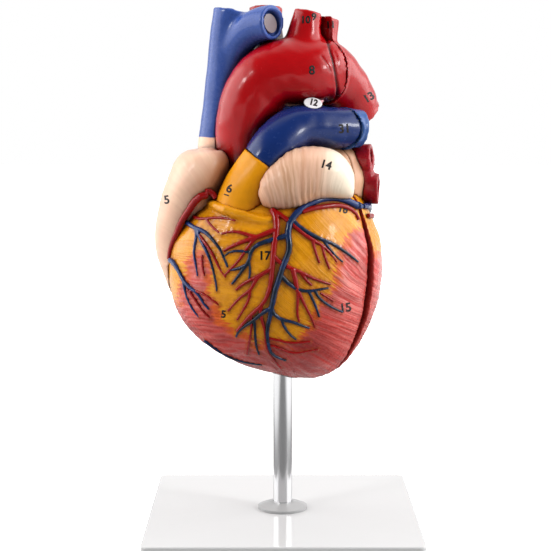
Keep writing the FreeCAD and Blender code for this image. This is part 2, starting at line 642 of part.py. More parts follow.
def make_heart():
    """Every piece of the heart, in the heart's own frame, by node name."""
    ventricles_front = level_loft(stepped_sections())
    ventricles_back = level_loft(ventricle_sections)
    left_chamber = level_loft(left_chamber_sections)
    septum_form = level_loft(left_chamber_sections, septum_thickness)
    right_chamber = level_loft(right_chamber_sections).cut(septum_form)

    aorta = tube(aorta_route, aorta_radii)
    aorta_lumen = tube(aorta_route, aorta_radii, aorta_wall)
    pulmonary = tube(pulmonary_route, pulmonary_radii)
    pulmonary_lumen = tube(pulmonary_route, pulmonary_radii, pulmonary_wall)
    cava = tube(cava_route, cava_radii)
    right_atrium_form = level_loft(right_atrium_sections)
    left_atrium_form = level_loft(left_atrium_sections)
    left_atrium_hollow = level_loft(left_atrium_sections[:-1], -left_atrium_wall)
    auricle_form = Part.makeLoft([upright_section(*s) for s in left_auricle_sections], True)

    nodes = {}

    # walls
    left_outflow = tube(left_outflow_start + aorta_route[:1], left_outflow_radii)
    right_outflow = tube(right_outflow_start + pulmonary_route[:1], right_outflow_radii)
    socket_outer = rod_diameter / 2 + socket_clearance + socket_wall
    socket_top = rod_grip + socket_ceiling
    below = Vector(0, 0, -overrun)
    socket_form = cylinder(socket_outer, socket_top + overrun, below)
    front_wall = cut_all(in_front(ventricles_front), left_chamber, right_chamber, left_outflow, right_outflow)
    front_wall = cut_all(front_wall, aorta_lumen, pulmonary_lumen, socket_form)
    back_wall = cut_all(behind(ventricles_back), left_chamber, right_chamber, left_outflow)
    socket = socket_form.common(ventricles_front)
    socket = socket.cut(cylinder(rod_diameter / 2 + socket_clearance, rod_grip + overrun, below))

    # valves between the chambers
    mitral, mitral_seat = funnel(
        mitral_center, mitral_height, mitral_radius, mitral_lip_radius, mitral_drop)
    tricuspid, tricuspid_seat = funnel(
        tricuspid_center, tricuspid_height, tricuspid_radius, tricuspid_lip_radius, tricuspid_drop)
    front_wall = cut_all(front_wall, tricuspid_seat, mitral_seat)
    back_wall = back_wall.cut(mitral_seat)

    nodes["front_heart_wall"] = front_wall
    nodes["rod_socket"] = socket
    nodes["back_heart_wall"] = back_wall

    # aorta
    arch = cut_all(aorta, aorta_lumen, ventricles_front, pulmonary)
    nodes["aortic_arch"] = in_front(arch)
    nodes["descending_aorta"] = behind(arch)
    vein = tube(brachiocephalic_vein_route, brachiocephalic_vein_radii)
    nodes["brachiocephalic_artery"] = cut_all(
        stub(brachiocephalic_artery_route, brachiocephalic_artery_radii), aorta, vein, cava)
    nodes["left_carotid_artery"] = in_front(cut_all(stub(carotid_route, carotid_radii), aorta, vein))
    nodes["left_subclavian_artery"] = behind(stub(subclavian_route, subclavian_radii).cut(aorta))

    # pulmonary trunk
    root_tool = border_tool()
    trunk = cut_all(pulmonary, pulmonary_lumen, ventricles_front)
    nodes["pulmonary_root"] = trunk.common(root_tool)
    nodes["pulmonary_trunk"] = in_front(trunk.cut(root_tool))
    nodes["left_pulmonary_artery"] = behind(trunk.cut(root_tool))

    # veins into the heart
    bore_end, cava_way = end_of(cava_route, cava_bore_depth)
    cava_bore = cylinder(cava_radii[-1] - cava_wall, cava_bore_depth + overrun, bore_end, cava_way)
    nodes["superior_vena_cava"] = cut_all(cava, aorta, ventricles_front, cava_bore)
    vein_foot, vein_way = end_of(brachiocephalic_vein_route, vein_end_depth)
    vein_bore = cylinder(vein_end_bore, vein_end_depth + overrun, vein_foot, vein_way)
    nodes["left_brachiocephalic_vein"] = cut_all(vein, cava, aorta, vein_bore)
    nodes["vein_end_disc"] = cylinder(vein_disc_radius, vein_disc_thickness, vein_foot, vein_way)

    # atria
    right_atrium = cut_all(right_atrium_form, ventricles_front, aorta, pulmonary, cava, tricuspid_seat)
    right_atrium = in_front(right_atrium)
    auricle = cut_all(auricle_form, ventricles_front, pulmonary, aorta)
    nodes["right_atrium"] = right_atrium
    nodes["left_auricle"] = in_front(auricle)
    left_atrium = cut_all(
        left_atrium_form, left_atrium_hollow, pulmonary, aorta, auricle_form, right_atrium_form, cava)
    nodes["left_atrium_front"] = in_front(left_atrium).cut(ventricles_front)
    nodes["left_atrium_back"] = cut_all(behind(left_atrium), ventricles_back, mitral_seat)

    lung_vein_neighbours = [
        left_atrium_form, ventricles_back, right_atrium_form, aorta, pulmonary, auricle_form,
    ]
    left_veins = joined([lung_vein(r) for r in left_vein_routes])
    right_veins = joined([lung_vein(r) for r in right_vein_routes])
    nodes["left_pulmonary_veins"] = behind(cut_all(left_veins, *lung_vein_neighbours))
    nodes["right_pulmonary_veins"] = behind(cut_all(right_veins, *lung_vein_neighbours))
    right_pulmonary = tube(right_pulmonary_route, right_pulmonary_radii)
    nodes["right_pulmonary_artery"] = behind(
        cut_all(right_pulmonary, pulmonary, aorta, cava, left_atrium_form, right_atrium_form, right_veins))
    lower_cava = stub(lower_cava_route, lower_cava_radii)
    nodes["inferior_vena_cava"] = in_front(cut_all(lower_cava, right_atrium_form, ventricles_front))
    ligament = tube(ligament_route, [ligament_radius, ligament_radius])
    nodes["ligamentum_arteriosum"] = in_front(cut_all(ligament, aorta, pulmonary))

    # valves and inside parts
    nodes["aortic_valve"] = cusp_disc(aorta_route, aorta_lumen, aortic_valve_lift).cut(pulmonary)
    nodes["pulmonary_valve"] = cusp_disc(pulmonary_route, pulmonary_lumen, pulmonary_valve_lift)
    nodes["tricuspid_valve"] = tricuspid
    nodes["mitral_valve"] = behind(mitral)
    muscles, chordae = papillary(nodes["mitral_valve"], left_chamber)
    nodes["papillary_muscles"] = Part.makeCompound(muscles)
    nodes["chordae_tendineae"] = Part.makeCompound(chordae)

    # magnets
    front_magnets = []
    back_magnets = []
    for along, height in magnet_places:
        foot = seam_point(along, height, seam_distance - magnet_thickness)
        hole = cylinder(magnet_diameter / 2 + magnet_clearance, magnet_thickness, foot, seam_normal)
        nodes["front_heart_wall"] = nodes["front_heart_wall"].cut(hole)
        front_magnets.append(cylinder(magnet_diameter / 2, magnet_thickness, foot, seam_normal))
        foot = seam_point(along, height, seam_distance + seam_gap)
        hole = cylinder(magnet_diameter / 2 + magnet_clearance, magnet_thickness, foot, seam_normal)
        nodes["back_heart_wall"] = nodes["back_heart_wall"].cut(hole)
        back_magnets.append(cylinder(magnet_diameter / 2, magnet_thickness, foot, seam_normal))
    nodes["magnets_front"] = Part.makeCompound(front_magnets)
    nodes["magnets_back"] = Part.makeCompound(back_magnets)

    # vessels on the wall
    front_mesh = wall_mesh(ventricles_front)
    groove_mesh = wall_mesh(ventricles_front.fuse(right_atrium_form))
    front_neighbours = [
        right_atrium_form, auricle_form, left_atrium_form, pulmonary, half_space(seam_distance, 1),
    ]
    placed = []
    veins = vessel_tree(front_mesh, vein_routes, front_neighbours, placed)
    arteries = vessel_tree(groove_mesh, [groove_artery_route], front_neighbours, placed)
    arteries += vessel_tree(front_mesh, artery_routes, front_neighbours, placed)
    nodes["cardiac_veins"] = Part.makeCompound(veins)
    nodes["coronary_arteries"] = Part.makeCompound(arteries)
    back_mesh = wall_mesh(ventricles_back)
    back_neighbours = [left_atrium_form, half_space(seam_distance + seam_gap, -1)]
    placed = []
    sinus = vessel_tree(back_mesh, [sinus_route], back_neighbours, placed, True)
    back_veins = vessel_tree(back_mesh, back_vein_routes, back_neighbours, placed, True)
    back_arteries = vessel_tree(back_mesh, back_artery_routes, back_neighbours, placed, True)
    nodes["coronary_sinus"] = Part.makeCompound(sinus)
    nodes["posterior_veins"] = Part.makeCompound(back_veins)
    nodes["posterior_arteries"] = Part.makeCompound(back_arteries)
    return nodes


def border_tool():
    """What lies below the slanting border between the root and the trunk."""
    box = Part.makeBox(2 * reach, 2 * reach, reach, Vector(-reach, -reach, -reach))
    box.rotate(Vector(0, 0, 0), Vector(0, 1, 0), 90 - pulmonary_border_lean)
    x, y = pulmonary_border_point
    box.translate(Vector(x, y, pulmonary_border_height))
    return box


def stub(route, radii):
    """A short branch with a shallow bore in its end."""
    foot, along = end_of(route, stub_bore_depth)
    bore = cylinder(radii[-1] - stub_wall, stub_bore_depth + overrun, foot, along)
    return tube(route, radii).cut(bore)


def lung_vein(route):
    foot, along = end_of(route, lung_vein_bore_depth)
    bore = cylinder(lung_vein_bore, lung_vein_bore_depth + overrun, foot, along)
    return tube(route, [lung_vein_radius, lung_vein_radius]).cut(bore)


def funnel(center, height, radius, lip_radius, drop):
    """A thin valve funnel that hangs from its ring, and the seat to cut for it."""
    foot = Vector(center[0], center[1], height - drop)
    outer = Part.makeCone(lip_radius, radius, drop, foot)
    inner = Part.makeCone(lip_radius - valve_leaf, radius - valve_leaf, drop, foot)
    seat = Part.makeCone(lip_radius + valve_seat_clearance, radius + valve_seat_clearance, drop, foot)
    mouth = cylinder(radius + valve_seat_clearance, valve_mouth_height, foot + up * drop)
    return outer.cut(inner), seat.fuse(mouth)


def cusp_disc(route, lumen, lift):
    """A disc across a root, with a three-cornered opening between its cusps."""
    start = Vector(*route[0])
    along = (Vector(*route[1]) - start).normalize()
    foot = start + along * lift
    disc = cylinder(valve_disc_reach, valve_leaf, foot, along).common(lumen)
    return disc.cut(three_corners(foot, along))


def three_corners(foot, along):
    """A three-cornered prism for the opening of a valve."""
    side = Vector(0, 1, 0).cross(along).normalize()
    other = along.cross(side)
    corners = []
    for k in range(4):
        angle = 2 * math.pi * k / 3
        corners.append(foot + (side * math.cos(angle) + other * math.sin(angle)) * valve_opening)
    return Part.Face(Part.makePolygon(corners)).extrude(along * valve_leaf)


def papillary(valve, chamber):
    """Two muscles that rise from the back wall, and the cords from them to the valve's lip."""
    muscles = []
    chordae = []
    lip = Vector(mitral_center[0], mitral_center[1], mitral_height - mitral_drop)
    for x, y, z in papillary_feet:
        foot = Vector(x, y, z)
        inward = Vector(lip.x - x, lip.y - y, 0) * papillary_tips_in
        tip = foot + inward + up * papillary_height
        along = tip - foot
        muscle = Part.makeCone(papillary_radius, papillary_tip_radius, along.Length, foot, along)
        muscle = behind(muscle.common(chamber))
        muscles.extend(big_solids(muscle))
        for k in range(chordae_per_muscle):
            angle = math.atan2(y - lip.y, x - lip.x) + math.radians(chorda_spread * (k - 1))
            end = lip + Vector(math.cos(angle), math.sin(angle), 0) * (mitral_lip_radius - valve_leaf / 2)
            start = tip - along.normalize() * chorda_sink
            run = end - start
            cord = Part.makeCylinder(chorda_radius, run.Length, start, run)
            cord = behind(cut_all(cord, muscle, valve))
            pieces = big_solids(cord, least_cord)
            for other in chordae:
                pieces = [s for p in pieces for s in big_solids(p.cut(other), least_cord)]
            chordae.extend(pieces)
    return muscles, chordae


def make_stand():
    return {
        "base_plate": make_base(),
        "rubber_feet": make_feet(),
        "collar": make_collar(),
        "steel_rod": make_rod(),
        "rod_screw": make_screw(),
        "rod_washer": make_washer(),
    }


def main():
    os.makedirs("parts", exist_ok=True)
    nodes = make_stand()
    for name, shape in make_heart().items():
        shape.translate(Vector(0, 0, heart_datum))
        nodes[name] = shape
    for name, shape in nodes.items():
        solids = big_solids(shape)
        kept = solids[0] if len(solids) == 1 else Part.makeCompound(solids)
        kept.exportStep("parts/" + name + ".step")
        state = "valid" if kept.isValid() else "INVALID"
        print(name, len(solids), "solids", round(kept.Volume), "mm3", state)


main()
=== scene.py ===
import json
import math

import bmesh
import bpy
import numpy as np
from mathutils import Matrix, Vector
from mathutils.bvhtree import BVHTree
from mathutils.kdtree import KDTree

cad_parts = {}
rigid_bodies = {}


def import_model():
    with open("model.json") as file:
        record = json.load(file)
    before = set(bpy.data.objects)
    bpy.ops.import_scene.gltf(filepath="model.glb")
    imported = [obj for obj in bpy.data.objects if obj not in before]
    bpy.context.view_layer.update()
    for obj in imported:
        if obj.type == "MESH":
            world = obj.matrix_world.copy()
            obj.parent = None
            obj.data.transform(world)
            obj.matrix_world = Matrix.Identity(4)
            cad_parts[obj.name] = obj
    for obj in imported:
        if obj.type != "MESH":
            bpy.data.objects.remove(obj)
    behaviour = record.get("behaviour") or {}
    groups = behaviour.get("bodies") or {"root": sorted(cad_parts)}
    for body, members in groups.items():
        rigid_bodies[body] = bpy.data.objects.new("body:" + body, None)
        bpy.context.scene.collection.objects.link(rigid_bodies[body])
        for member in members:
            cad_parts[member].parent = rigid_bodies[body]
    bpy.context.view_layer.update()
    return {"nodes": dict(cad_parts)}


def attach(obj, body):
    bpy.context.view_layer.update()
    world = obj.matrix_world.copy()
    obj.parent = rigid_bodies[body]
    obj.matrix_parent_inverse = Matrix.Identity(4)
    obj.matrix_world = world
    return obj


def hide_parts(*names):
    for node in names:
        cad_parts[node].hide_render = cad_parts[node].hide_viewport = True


bl_info = {
    "name": "Heart model",
    "version": (1, 0, 0),
    "blender": (4, 5, 0),
    "location": "3D View > Sidebar > Heart",
    "description": "Paints and details a heart anatomy model on its stand",
    "category": "Object",
}

MM = 0.001
NODE_KIND = "ShaderNode"

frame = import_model()

# ---- places that the looks share with the solids, in millimetres ----
HEART_FOOT = 84.0
SEAM_TURN = math.radians(35.0)
SEAM_DISTANCE = 15.5
SEAM_GAP = 0.2
SEAM_NORMAL = np.array([math.sin(SEAM_TURN), math.cos(SEAM_TURN), 0.0])
# level, along the seam, towards the heart's left side
SEAM_ALONG = np.array([SEAM_NORMAL[1], -SEAM_NORMAL[0], 0.0])

# ---- the drawing sheet: the heart seen from the eye, SHEET_SIDE units wide and high ----
# the eye's place in millimetres and its turn and tilt in radians, how far off the sheet is in its own
# units, and the millimetres that one of them covers on the heart
EYE = np.array([-4.77, -779.08, 234.1])
EYE_TURN = 0.00126
EYE_TILT = 0.12196
SHEET_SIDE = 551.0
SHEET_REACH = 1501.35
SHEET_UNIT = 0.52

# ---- meshes ----
# points nearer than this, in millimetres, become one
WELD_GAP = 0.004
# shares of the way to the neighbours' middle, there and back, so that a relaxed mesh doesn't shrink
RELAX_IN, RELAX_OUT = 0.5, -0.52
# where two forms of one casting meet, in millimetres, and the share of the way that each round goes
FILLET_TOUCH = 0.9
FILLET_REACH = 7.0
FILLET_ROUNDS = 26
FILLET_PULL = 0.6

# ---- the studio ----
# light from the front, and softboxes: direction, where the light ends and where it is full,
# in degrees off that direction, and its strength
FRONT_LIGHT = 0.17
SOFTBOXES = [
    ((-0.97, 0.04, 0.22), 45, 19, 3.6),
    ((0.97, 0.02, 0.28), 45, 19, 3.9),
    ((0.0, 0.32, 0.94), 42, 17, 1.0),
    ((0.0, 1.0, 0.2), 80, 50, 0.65),
]
# name, place in metres and watts
LAMPS = [("left strip", (-0.75, -0.55, 0.66), 3.0), ("right strip", (0.86, -0.42, 0.46), 2.9)]
LAMP_SIDE = 0.2
LAMP_TARGET = (0.0, 0.0, 0.17)
FLOOR_HALF = 4.0
# greys of the floor as the object sees it and as the camera does, and how much it glows for the camera
FLOOR_BOUNCE, FLOOR_SEEN = (0.2, 0.2, 0.2), (0.85, 0.85, 0.85)
FLOOR_GLOW = 0.8
# how bright polished parts see the floor, from beside the stand out to its far sides
FLOOR_SIDES = 0.9
FLOOR_SIDES_FROM, FLOOR_SIDES_TO = 0.16, 0.34

# ---- drawn steel: scales of the noise across and along the rod ----
STEEL_RINGS = (60.0, 60.0, 5200.0)

# ---- gloss paint: shares of the full coat, shine and roughness ----
GLOSS_SHARE = 0.4
ROUGHNESS_SHARE = 0.8
BUMP_DEPTH = 0.25
# scales of the noise that makes the paint uneven
PAINT_BROAD, PAINT_FINE = 70.0, 420.0
# how open to the light a place is where the painted shade in a crease is darkest and where it ends
CREASE_FULL, CREASE_END = 0.35, 0.92
CREASE_SAMPLES = 10

# name: colour (a setting's name, or steps of 0 to 255), the colour of its painted shade, how strong
# that painted shade is in creases, its reach in millimetres, variation, roughness, coat and bump
PAINTS = {
    "Aorta red": ("aorta", (70, 0, 4), 0.95, 11.0, 0.12, 0.3, 0.7, 0.2),
    "Aorta red of the back half": ("aorta", (70, 0, 4), 0.6, 3.0, 0.12, 0.3, 0.8, 0.2),
    "Pulmonary blue": ("deep_blue", (8, 16, 50), 0.85, 7.0, 0.16, 0.32, 0.7, 0.2),
    # a lighter copy of the pulmonary blue: painted light on the back half's pulmonary arteries
    "Pulmonary blue of the back half": ((44, 84, 150), (8, 16, 50), 0.6, 3.0, 0.3, 0.3, 0.5, 0.2),
    "Root yellow": ("fat", (110, 30, 0), 0.9, 8.0, 0.14, 0.5, 0.1, 0.2),
    "Vein blue": ("blue", (18, 28, 74), 0.85, 7.0, 0.2, 0.34, 0.5, 0.2),
    "Lung vein crimson": ("lung_vein", (50, 2, 6), 0.7, 5.0, 0.35, 0.34, 0.5, 0.2),
    "Ligament pink": ("ligament", (120, 50, 60), 0.5, 3.0, 0.2, 0.35, 0.4, 0.2),
    "Wall artery red": ("artery", (50, 2, 2), 0.5, 1.5, 0.3, 0.3, 0.6, 0.2),
    "Valve cream": ("valve", (120, 70, 50), 0.6, 2.0, 0.15, 0.35, 0.5, 0.2),
    "Grey disc": ((140, 128, 132), (60, 50, 54), 0.4, 1.5, 0.12, 0.45, 0.1, 0.2),
    "Black socket": ((38, 38, 40), (0, 0, 0), 0.3, 2.0, 0.2, 0.5, 0.0, 0.2),
    "Nickel": ((190, 186, 178), (60, 58, 54), 0.4, 1.0, 0.05, 0.2, 0.0, 0.02),
    "Printing ink": ("ink", (0, 0, 0), 0.0, 1.0, 0.1, 0.6, 0.0, 0.0),
    "Sticker paper": ((238, 238, 240), (150, 150, 160), 0.5, 1.5, 0.03, 0.4, 0.3, 0.05),
}

# ---- the wall ----
# outlines and lines are places on the sheet, across and down
FAT_OUTLINE = [
    (150, 180), (362, 180), (362, 226), (352, 232), (345, 238), (340, 250), (336, 262), (333, 272),
    (334, 284), (330, 290), (322, 300), (316, 309), (309, 324), (304, 329), (300, 335), (294, 341),
    (280, 340), (270, 338), (262, 342), (257, 344), (251, 337), (246, 331), (236, 332), (230, 326),
    (221.5, 320), (219, 306), (209.5, 294), (212.4, 278), (211.6, 261), (205, 251), (197, 249),
    (189, 256), (184.5, 264), (183, 274), (180, 284), (177, 293), (175.5, 303), (150, 303),
]
BACK_FAT_OUTLINE = [(340, 180), (400, 180), (400, 248), (340, 254)]
# soft patches of painted sheen and of painted shade on the muscle: across, down, half width, half
# height and strength
PALE_SPOTS = [(347, 268, 15, 40, 1.0), (200, 290, 16, 18, 0.4), (285, 352, 30, 6, 0.3)]
DARK_SPOTS = [
    (312, 345, 20, 16, 0.75), (213, 318, 13, 10, 0.5), (245, 352, 26, 10, 0.35),
    (285, 368, 60, 16, 0.45), (345, 275, 12, 30, -0.4),
]
# the muscle's grain: its middle, its lean in degrees, where it turns and where it flattens
GRAIN_ACROSS, GRAIN_DOWN = 262, 250
GRAIN_LEAN, GRAIN_LEFT_LEAN = 6, 40
GRAIN_TURN = (300, 235)
GRAIN_FLAT_SHARE, GRAIN_TOP_SHARE = 0.62, 0.38
GRAIN_FLATTENING = (270, 345)
MUSCLE_FOLD_PITCH, MUSCLE_FOLD_HEIGHT = 3.3, 0.11
# how far inside its hull the wall is a chamber, and the points that the hull is made from
CHAMBER_DEPTHS = (1.6, 3.0)
HULL_POINTS = 6000
# how far inside the fat's outline the muscle's folds are whole and gone, in millimetres
MUSCLE_EDGE = (-1.5, 0.5)
# how far from a vessel the painted shade beside it is darkest and where it is gone
BESIDE_GAPS = (0.7, 2.0)
# how near the seam's plane and how square to it a face is part of the cut
CUT_GAPS = (0.5, 1.1)
CUT_FACING = (-0.75, -0.45)
# how far the front wall's edge is drawn in beside the seam, and from how far off
SEAM_SHOULDER = 1.1
SEAM_SHOULDER_REACH = 3.5
WALL_VESSELS = {
    -1: ("coronary_arteries", "cardiac_veins"),
    1: ("posterior_arteries", "posterior_veins", "coronary_sinus"),
}

# the roll of fat in front of the pulmonary root
LIP_LINE = [
    (202, 203), (208, 202), (216, 205.5), (226, 209.5), (237, 213.5), (248, 217), (258, 219.5),
    (267, 220), (274, 218),
]
LIP_RADII = [1.0, 2.0, 2.4, 2.5, 2.5, 2.5, 2.4, 2.0, 1.2]

# ---- the atria ----
# the striations fan out from here; millimetres of sheet for each radian, and their pitch
FAN_ACROSS, FAN_DOWN = 310, 330
FAN_SPREAD = 62
FAN_PITCH = 2.9
# heights of the folds
AURICLE_FOLD, ATRIUM_FOLD = 0.16, 0.05
# where across the sheet the auricle's folds and its painted shade begin and are full, and, leftwards,
# its painted highlight
AURICLE_FADE = (300, 335)
AURICLE_PALE = (-343, -312)
# the painted brown shade in the fold round the right atrium's upper end
RIGHT_ATRIUM_FOLD = [
    (205, 205), (196, 193), (203, 178), (214, 166), (226, 156), (236, 152), (250, 160), (240, 200),
]

# ---- the vessels ----
# routes and radii, in millimetres, of forms that fill between branches or carry a vessel on
EXTRA_FORMS = {
    "left_pulmonary_veins": (
        [(40.5, 5.5, 200.5), (42.0, 4.5, 196.0), (43.2, 3.6, 191.5), (44.5, 3.4, 186.5),
         (45.0, 4.0, 182.0)],
        [3.4, 4.4, 4.6, 4.4, 3.4]),
    "aortic_arch": ([(14.0, 3.0, 250.0), (16.0, 3.0, 258.5)], [4.4, 2.6]),
    "descending_aorta": (
        [(22.0, 9.4, 250.0), (21.8, 9.1, 260.0), (21.6, 8.9, 272.2)], [4.2, 4.1, 4.1]),
    "coronary_arteries": (
        [(-39.0, -22.3, 183.7), (-37.0, -21.6, 183.9), (-35.2, -21.6, 182.6), (-33.8, -22.4, 180.6)],
        [1.7, 1.6, 1.5, 1.3]),
    "cardiac_veins": (
        [(38.3, -13.6, 176.4), (39.4, -12.0, 176.0), (40.2, -10.9, 175.6)], [1.9, 1.6, 1.3]),
    "coronary_sinus": (
        [(41.3, -7.9, 175.4), (42.9, -4.0, 175.2), (44.4, 2.1, 174.8), (45.1, 8.3, 174.2),
         (45.2, 15.7, 173.2), (45.3, 20.8, 172.4)],
        [1.3, 1.6, 1.8, 2.0, 2.2, 2.5]),
    "posterior_arteries": (
        [(43.9, -8.0, 170.6), (45.9, -2.4, 170.2), (46.9, 4.2, 169.6), (47.3, 12.0, 168.6),
         (47.0, 18.6, 167.4)],
        [1.1, 1.2, 1.2, 1.1, 0.8]),
}
ARCH_GROOVE = [
    (321.5, 27), (322.8, 30), (328, 42.8), (332.7, 58), (335.8, 72.7), (337.3, 88), (335.8, 107),
    (335, 112),
]
ARCH_CREASE = [(322, 56), (327, 63), (331, 71)]
# how far back, from the stand's middle, they are whole and gone
ARCH_FRONT = (5.0, 9.0)
# half widths and depths of the groove and the crease
GROOVE_WIDTH, GROOVE_DEPTH = 0.55, 0.8
CREASE_WIDTH, CREASE_DEPTH = 0.5, 0.25
# flats beyond the groove: the size of one, the steps between them, and how far they rise
FLAT_SIZE, FLAT_STEPS = 7, 1.6
FLAT_STEP_HEIGHT, FLAT_RISE = 0.22, 0.35
# the jagged skirt of thin plastic at the seam
FLASH_PITCH = 4.6
FLASH_LEAST, FLASH_MOST = 0.2, 3.2
FLASH_SWELL = 0.75
# where the upper great vein changes from blue to flesh, above the heart's foot
TWO_TONE_HEIGHT = 126.5
# where a painted highlight makes the wall's veins fully blue and where it is gone: above the heart's
# foot, and to its right side
BLUER_HEIGHTS = (96.0, 80.0)
BLUER_SIDES = (-46.0, -34.0)
# solids of one casting, body, paint and material slot
GREAT_VESSELS = [
    (["aortic_arch", "left_carotid_artery", "brachiocephalic_artery"], "heart_front",
     "Aorta red", "aorta_red"),
    (["descending_aorta", "left_subclavian_artery"], "heart_back",
     "Aorta red of the back half", "aorta_red"),
    (["pulmonary_trunk"], "heart_front", "Pulmonary blue", "pulmonary_blue"),
    (["left_pulmonary_artery"], "heart_back", "Pulmonary blue of the back half", "pulmonary_blue"),
    (["right_pulmonary_artery"], "heart_back", "Pulmonary blue of the back half", "pulmonary_blue"),
    (["pulmonary_root"], "heart_front", "Root yellow", "fat_yellow"),
    (["superior_vena_cava", "left_brachiocephalic_vein"], "heart_front",
     "Upper vein two tone", "vein_blue"),
    (["inferior_vena_cava"], "heart_front", "Vein blue", "vein_blue"),
    (["left_pulmonary_veins"], "heart_back", "Lung vein crimson", "lung_vein_red"),
    (["right_pulmonary_veins"], "heart_back", "Lung vein crimson", "lung_vein_red"),
    (["ligamentum_arteriosum"], "heart_front", "Ligament pink", "ligament_pink"),
]

# ---- the numbers ----
# the longest edge of a figure, how much bolder it is than the font, and its share of the font's size
FIGURE_EDGE = 1.0
FIGURE_WEIGHT = 0.36
FIGURE_SHARE = 0.7
# rounds of cutting a figure's edges, and how far before and behind its middle a flat piece is drawn
FIGURE_CUTS = 5
FLAT_HALF = 0.5
# text, place on the sheet, height, turn in degrees, and the solid that it is printed on
FRONT_NUMBERS = [
    ("8", 312.0, 70.5, 8.6, 0.0, "aortic_arch"),
    ("10", 305.5, 20.0, 7.0, 0.0, "left_carotid_artery"),
    ("9", 314.0, 17.0, 6.5, 0.0, "left_carotid_artery"),
    ("31", 344.5, 129.0, 8.5, 4.0, "pulmonary_trunk"),
    ("14", 326.0, 165.0, 8.0, -16.0, "left_auricle"),
    ("6", 229.3, 188.8, 8.0, -16.0, "pulmonary_root"),
    ("_", 227.3, 191.6, 6.0, -16.0, "pulmonary_root"),
    ("5", 166.8, 200.0, 8.0, 8.0, "right_atrium"),
    ("17", 264.5, 256.0, 8.5, 0.0, "front_heart_wall"),
    ("15", 345.5, 308.0, 8.5, 8.0, "front_heart_wall"),
    ("16", 343.0, 209.5, 7.0, -14.0, "front_heart_wall"),
    ("5", 223.5, 314.5, 7.0, -4.0, "front_heart_wall"),
]
BACK_NUMBERS = [
    ("11", 330.5, 25.0, 6.6, 4.0, "left_subclavian_artery"),
    ("13", 369.0, 97.5, 7.8, 32.0, "descending_aorta"),
]
# solids that are dressed in one skin with another
SKIN_OF = {
    "left_carotid_artery": "aortic_arch",
    "left_subclavian_artery": "descending_aorta",
}
# the solids that the sticker rests on, how far behind their foremost point they still carry it, and its
# gap and thickness, in millimetres
STICKER_REST = ("pulmonary_trunk", "ligamentum_arteriosum", "aortic_arch")
STICKER_RELIEF = 6.0
STICKER_GAP = 0.05
STICKER_THICKNESS = 0.12
# its place and half widths on the sheet
STICKER_PLACE = (313.0, 103.0)
STICKER_SIZE = (9.2, 5.4)
STICKER_TURN = -8.0
STICKER_NUMBER = ("12", 313.5, 102.6, 6.0, -14.0)


def from_srgb(red, green, blue):
    """A colour written in steps of 0 to 255, as Blender keeps it."""
    steps = [c / 255.0 for c in (red, green, blue)]
    return tuple(c / 12.92 if c <= 0.04045 else ((c + 0.055) / 1.055) ** 2.4 for c in steps)


# ---- settings that a user would change ----

def colour_setting(name, description, red, green, blue):
    return bpy.props.FloatVectorProperty(
        name=name, description=description, default=from_srgb(red, green, blue), size=3,
        subtype="COLOR", min=0.0, max=1.0)


def length_setting(name, description, millimetres):
    return bpy.props.FloatProperty(
        name=name, description=description, default=millimetres * MM, unit="LENGTH", min=0.0,
        precision=5)


class HeartColours(bpy.types.PropertyGroup):
    """Paint colours of the model."""
    fat: colour_setting("Fat", "Yellow of the fat on the heart's front", 230, 150, 2)
    muscle: colour_setting("Muscle", "Red of the heart's muscle", 208, 66, 58)
    # dark muscle is also the colour of the muscle's painted shade, and pale muscle of its painted sheen
    muscle_dark: colour_setting("Dark muscle", "Deep red between the muscle's strokes", 140, 30, 30)
    muscle_pale: colour_setting("Pale muscle", "Pink of the muscle's lightest strokes", 248, 166, 156)
    flesh: colour_setting("Flesh", "Skin tone of the atria", 246, 205, 176)
    # flesh shade is the brown of the atria's stripes and of their painted shade
    flesh_shade: colour_setting("Flesh shade", "Brown in the folds of the atria", 176, 112, 60)
    aorta: colour_setting("Aorta", "Red of the aorta and its branches", 176, 2, 10)
    blue: colour_setting("Vein blue", "Blue of the upper great vein", 58, 86, 160)
    deep_blue: colour_setting("Lung artery blue", "Deep blue of the pulmonary trunk", 14, 42, 104)
    artery: colour_setting("Artery", "Red of the arteries on the wall", 150, 6, 8)
    vein: colour_setting("Vein", "Blue-black of the veins on the wall", 12, 30, 50)
    lung_vein: colour_setting("Lung vein", "Crimson of the lung veins", 160, 20, 34)
    seam: colour_setting("Seam", "Maroon of the faces inside the seam", 180, 52, 42)
    chamber: colour_setting("Chamber", "Paint inside the chambers", 196, 96, 84)
    valve: colour_setting("Valve", "Cream of valves and cords", 236, 220, 190)
    ligament: colour_setting("Ligament", "Pale pink of the ligament and rims", 236, 170, 176)
    ink: colour_setting("Ink", "Printed numbers", 26, 20, 20)
    stand: colour_setting("Stand", "White of the base and collar", 208, 208, 208)


class HeartSizes(bpy.types.PropertyGroup):
    """Sizes of the surface detail."""
    wall_grid: length_setting("Wall grid", "Spacing of the wall's mesh", 0.85)
    vessel_grid: length_setting("Vessel grid", "Spacing of the great vessels' mesh", 0.8)
    branch_grid: length_setting("Branch grid", "Mesh spacing of the vessels on the wall", 0.32)
    ridge_height: length_setting("Ridge height", "How far the wall swells beside a vessel", 0.35)
    ridge_width: length_setting("Ridge width", "How far from a vessel the wall swells", 1.1)
    print_depth: length_setting("Print depth", "How far the numbers stand out", 0.06)
    lens: bpy.props.FloatProperty(
        name="Lens", description="Focal length of the camera", default=98.09, unit="CAMERA", min=1.0)


# ---- meshes ----

def colours():
    return bpy.context.scene.heart_colours


def sizes():
    return bpy.context.scene.heart_sizes


def points_of(mesh):
    """Vertices as an array, in millimetres."""
    flat = np.empty(len(mesh.vertices) * 3, np.float32)
    mesh.vertices.foreach_get("co", flat)
    return flat.reshape(-1, 3).astype(float) / MM


def put_points(mesh, points):
    mesh.vertices.foreach_set("co", (points * MM).astype(np.float32).ravel())
    mesh.update()


